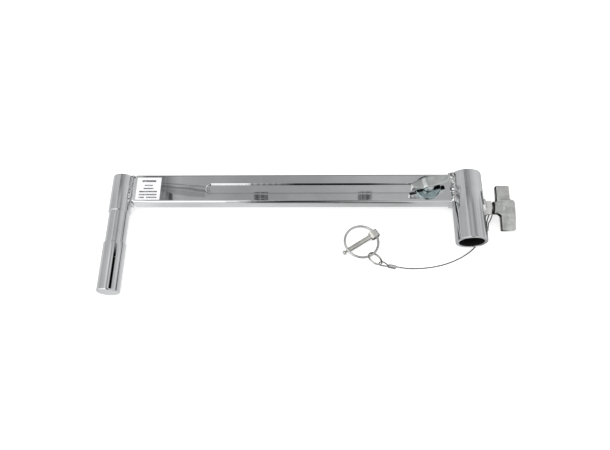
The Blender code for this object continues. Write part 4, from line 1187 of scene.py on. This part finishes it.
def mirrored_room(g):
    """Colour of the room by direction."""
    tex = g.add("ShaderNodeTexCoord")
    x, y, z = g.split(tex.outputs["Generated"])
    roll = g.mul_add(g.math("ARCTAN2", x, z), 1.0 / math.tau, 0.5)

    def room(rows):
        return g.ramp(roll, [(0.5 + degrees / 360.0, v) for degrees, v in rows])

    def patch(x0, x1, y0, y1, soft):
        """1 inside a box of directions, with soft sides."""
        return g.mul(g.band(x, (x0 - soft, x0 + soft), (x1 + soft, x1 - soft)),
                     g.band(y, (y0 - soft, y0 + soft), (y1 + soft, y1 - soft)))

    def stripes(period):
        return g.math("SINE", g.mul(x, math.tau / period))

    back = g.mix(g.step(y, 0.305, 0.335), room(ROOM_LOW), room(ROOM_MIDDLE))
    back = g.mix(g.step(y, 0.390, 0.415), back, room(ROOM_HIGH))
    beyond = g.mix(g.step(x, 0.20, 0.26), (0.17, 0.17, 0.175), (0.74, 0.74, 0.74))
    back = g.mix(g.step(y, 0.48, 0.52), back, beyond)

    front = g.ramp(g.mul_add(x, 0.5, 0.5), ROOM_FRONT)
    # fine dark stripes in a narrow part of the front
    lamps = g.band(x, (-0.130, -0.124), (-0.045, -0.058))
    lamps = g.mul(lamps, g.step(stripes(0.0105), 0.25, 0.75))
    front = g.mix(g.mul(lamps, 0.7), front, (0.12, 0.12, 0.12))
    env = g.mix(g.step(y, 0.20, 0.12), back, front)

    # striped brackets and thin rails overhead
    brackets = None
    for box in BRACKETS:
        bracket = patch(*box, soft=0.0010)
        brackets = bracket if brackets is None else g.math("MAXIMUM", brackets, bracket)
    bars = g.step(stripes(0.0098), -0.2, 0.5, low=0.75, high=1.0)
    env = g.mix(g.mul(brackets, bars), env, (0.095, 0.097, 0.102))
    for x1, y0, y1, darkness in RAILS:
        rail = patch(RAIL_X0, x1, y0, y1, soft=0.0006)
        env = g.mix(g.mul(rail, darkness), env, (0.02, 0.02, 0.022))
    # darker area at the -X end of the rails
    far = g.band(x, (-0.246, -0.272), (-0.310, -0.300))
    far = g.mul(far, g.step(y, 0.385, 0.395))
    return g.mix(g.mul(far, 0.62), env, (0.03, 0.03, 0.032))


def build_world():
    world = bpy.data.worlds.new("studio")
    scene.world = world
    world.use_nodes = True
    g = Graph(world.node_tree)
    mirrored = g.add("ShaderNodeBackground", {"Color": mirrored_room(g), "Strength": 1.0})
    even = g.add("ShaderNodeBackground", {"Color": (1.0, 1.0, 1.0), "Strength": 0.98})
    glossy = g.add("ShaderNodeLightPath").outputs["Is Glossy Ray"]
    g.add("ShaderNodeOutputWorld", {
        0: g.mix_shader(glossy, even.outputs[0], mirrored.outputs[0])})


def build_light():
    """One broad soft light from above, not seen in the polish."""
    data = bpy.data.lights.new("soft_top", "AREA")
    data.shape = "RECTANGLE"
    data.size, data.size_y = 1.6, 1.2
    data.energy = 6.0
    light = bpy.data.objects.new("soft_top", data)
    position, target = Vector((0.10, 0.25, 1.5)), Vector((0.24, 0.1, 0.0))
    light.location = position
    light.rotation_euler = (position - target).to_track_quat("Z", "Y").to_euler()
    light.visible_glossy = False
    scene.collection.objects.link(light)


def build_camera():
    """Camera above the beam on its -Y side, looking down and towards +Y."""
    data = bpy.data.cameras.new("camera")
    data.sensor_fit = "HORIZONTAL"
    data.sensor_width = 36.0
    data.lens = 33.157
    data.clip_start = 0.01
    data.clip_end = 200.0
    camera = bpy.data.objects.new("camera", data)
    right = Vector((0.99954, 0.01098, -0.02843)).normalized()
    up = Vector((0.000486, 0.926955, 0.375171)).normalized()
    backward = right.cross(up)
    up = backward.cross(right)               # made square to the other two
    pose = Matrix((right, up, backward)).transposed().to_4x4()
    pose.translation = Vector((0.265746, -0.180980, 0.670320))
    camera.matrix_world = pose
    scene.collection.objects.link(camera)
    scene.camera = camera
    scene.view_settings.view_transform = "Standard"
    scene.view_settings.look = "None"


def plain(bounds):
    return [[float(c) for c in corner] for corner in bounds]


# ---------------------------------------------------------------------------
# Build, in the order the objects are made
# ---------------------------------------------------------------------------
finish_kept_nodes()
build_beam()
build_pin()
build_receiver()
build_washer()
build_receiver_weld()
build_pin_weld()
build_boss_weld()
build_casting("arm_lock_handle", "arm_lock_casting")
build_casting("receiver_lock_handle", "receiver_lock_casting")
build_studs()
build_rope()
build_sleeve("neck_sleeve", "neck_ferrule", NECK_0, NECK_1, NECK_SIDE, inset=0.9)
build_sleeve("eye_sleeve", "eye_ferrule", EYE_0, EYE_1, EYE_SIDE, inset=0.4)
build_split_ring()
build_spring_ring()
build_floor()
build_world()
build_light()
build_camera()
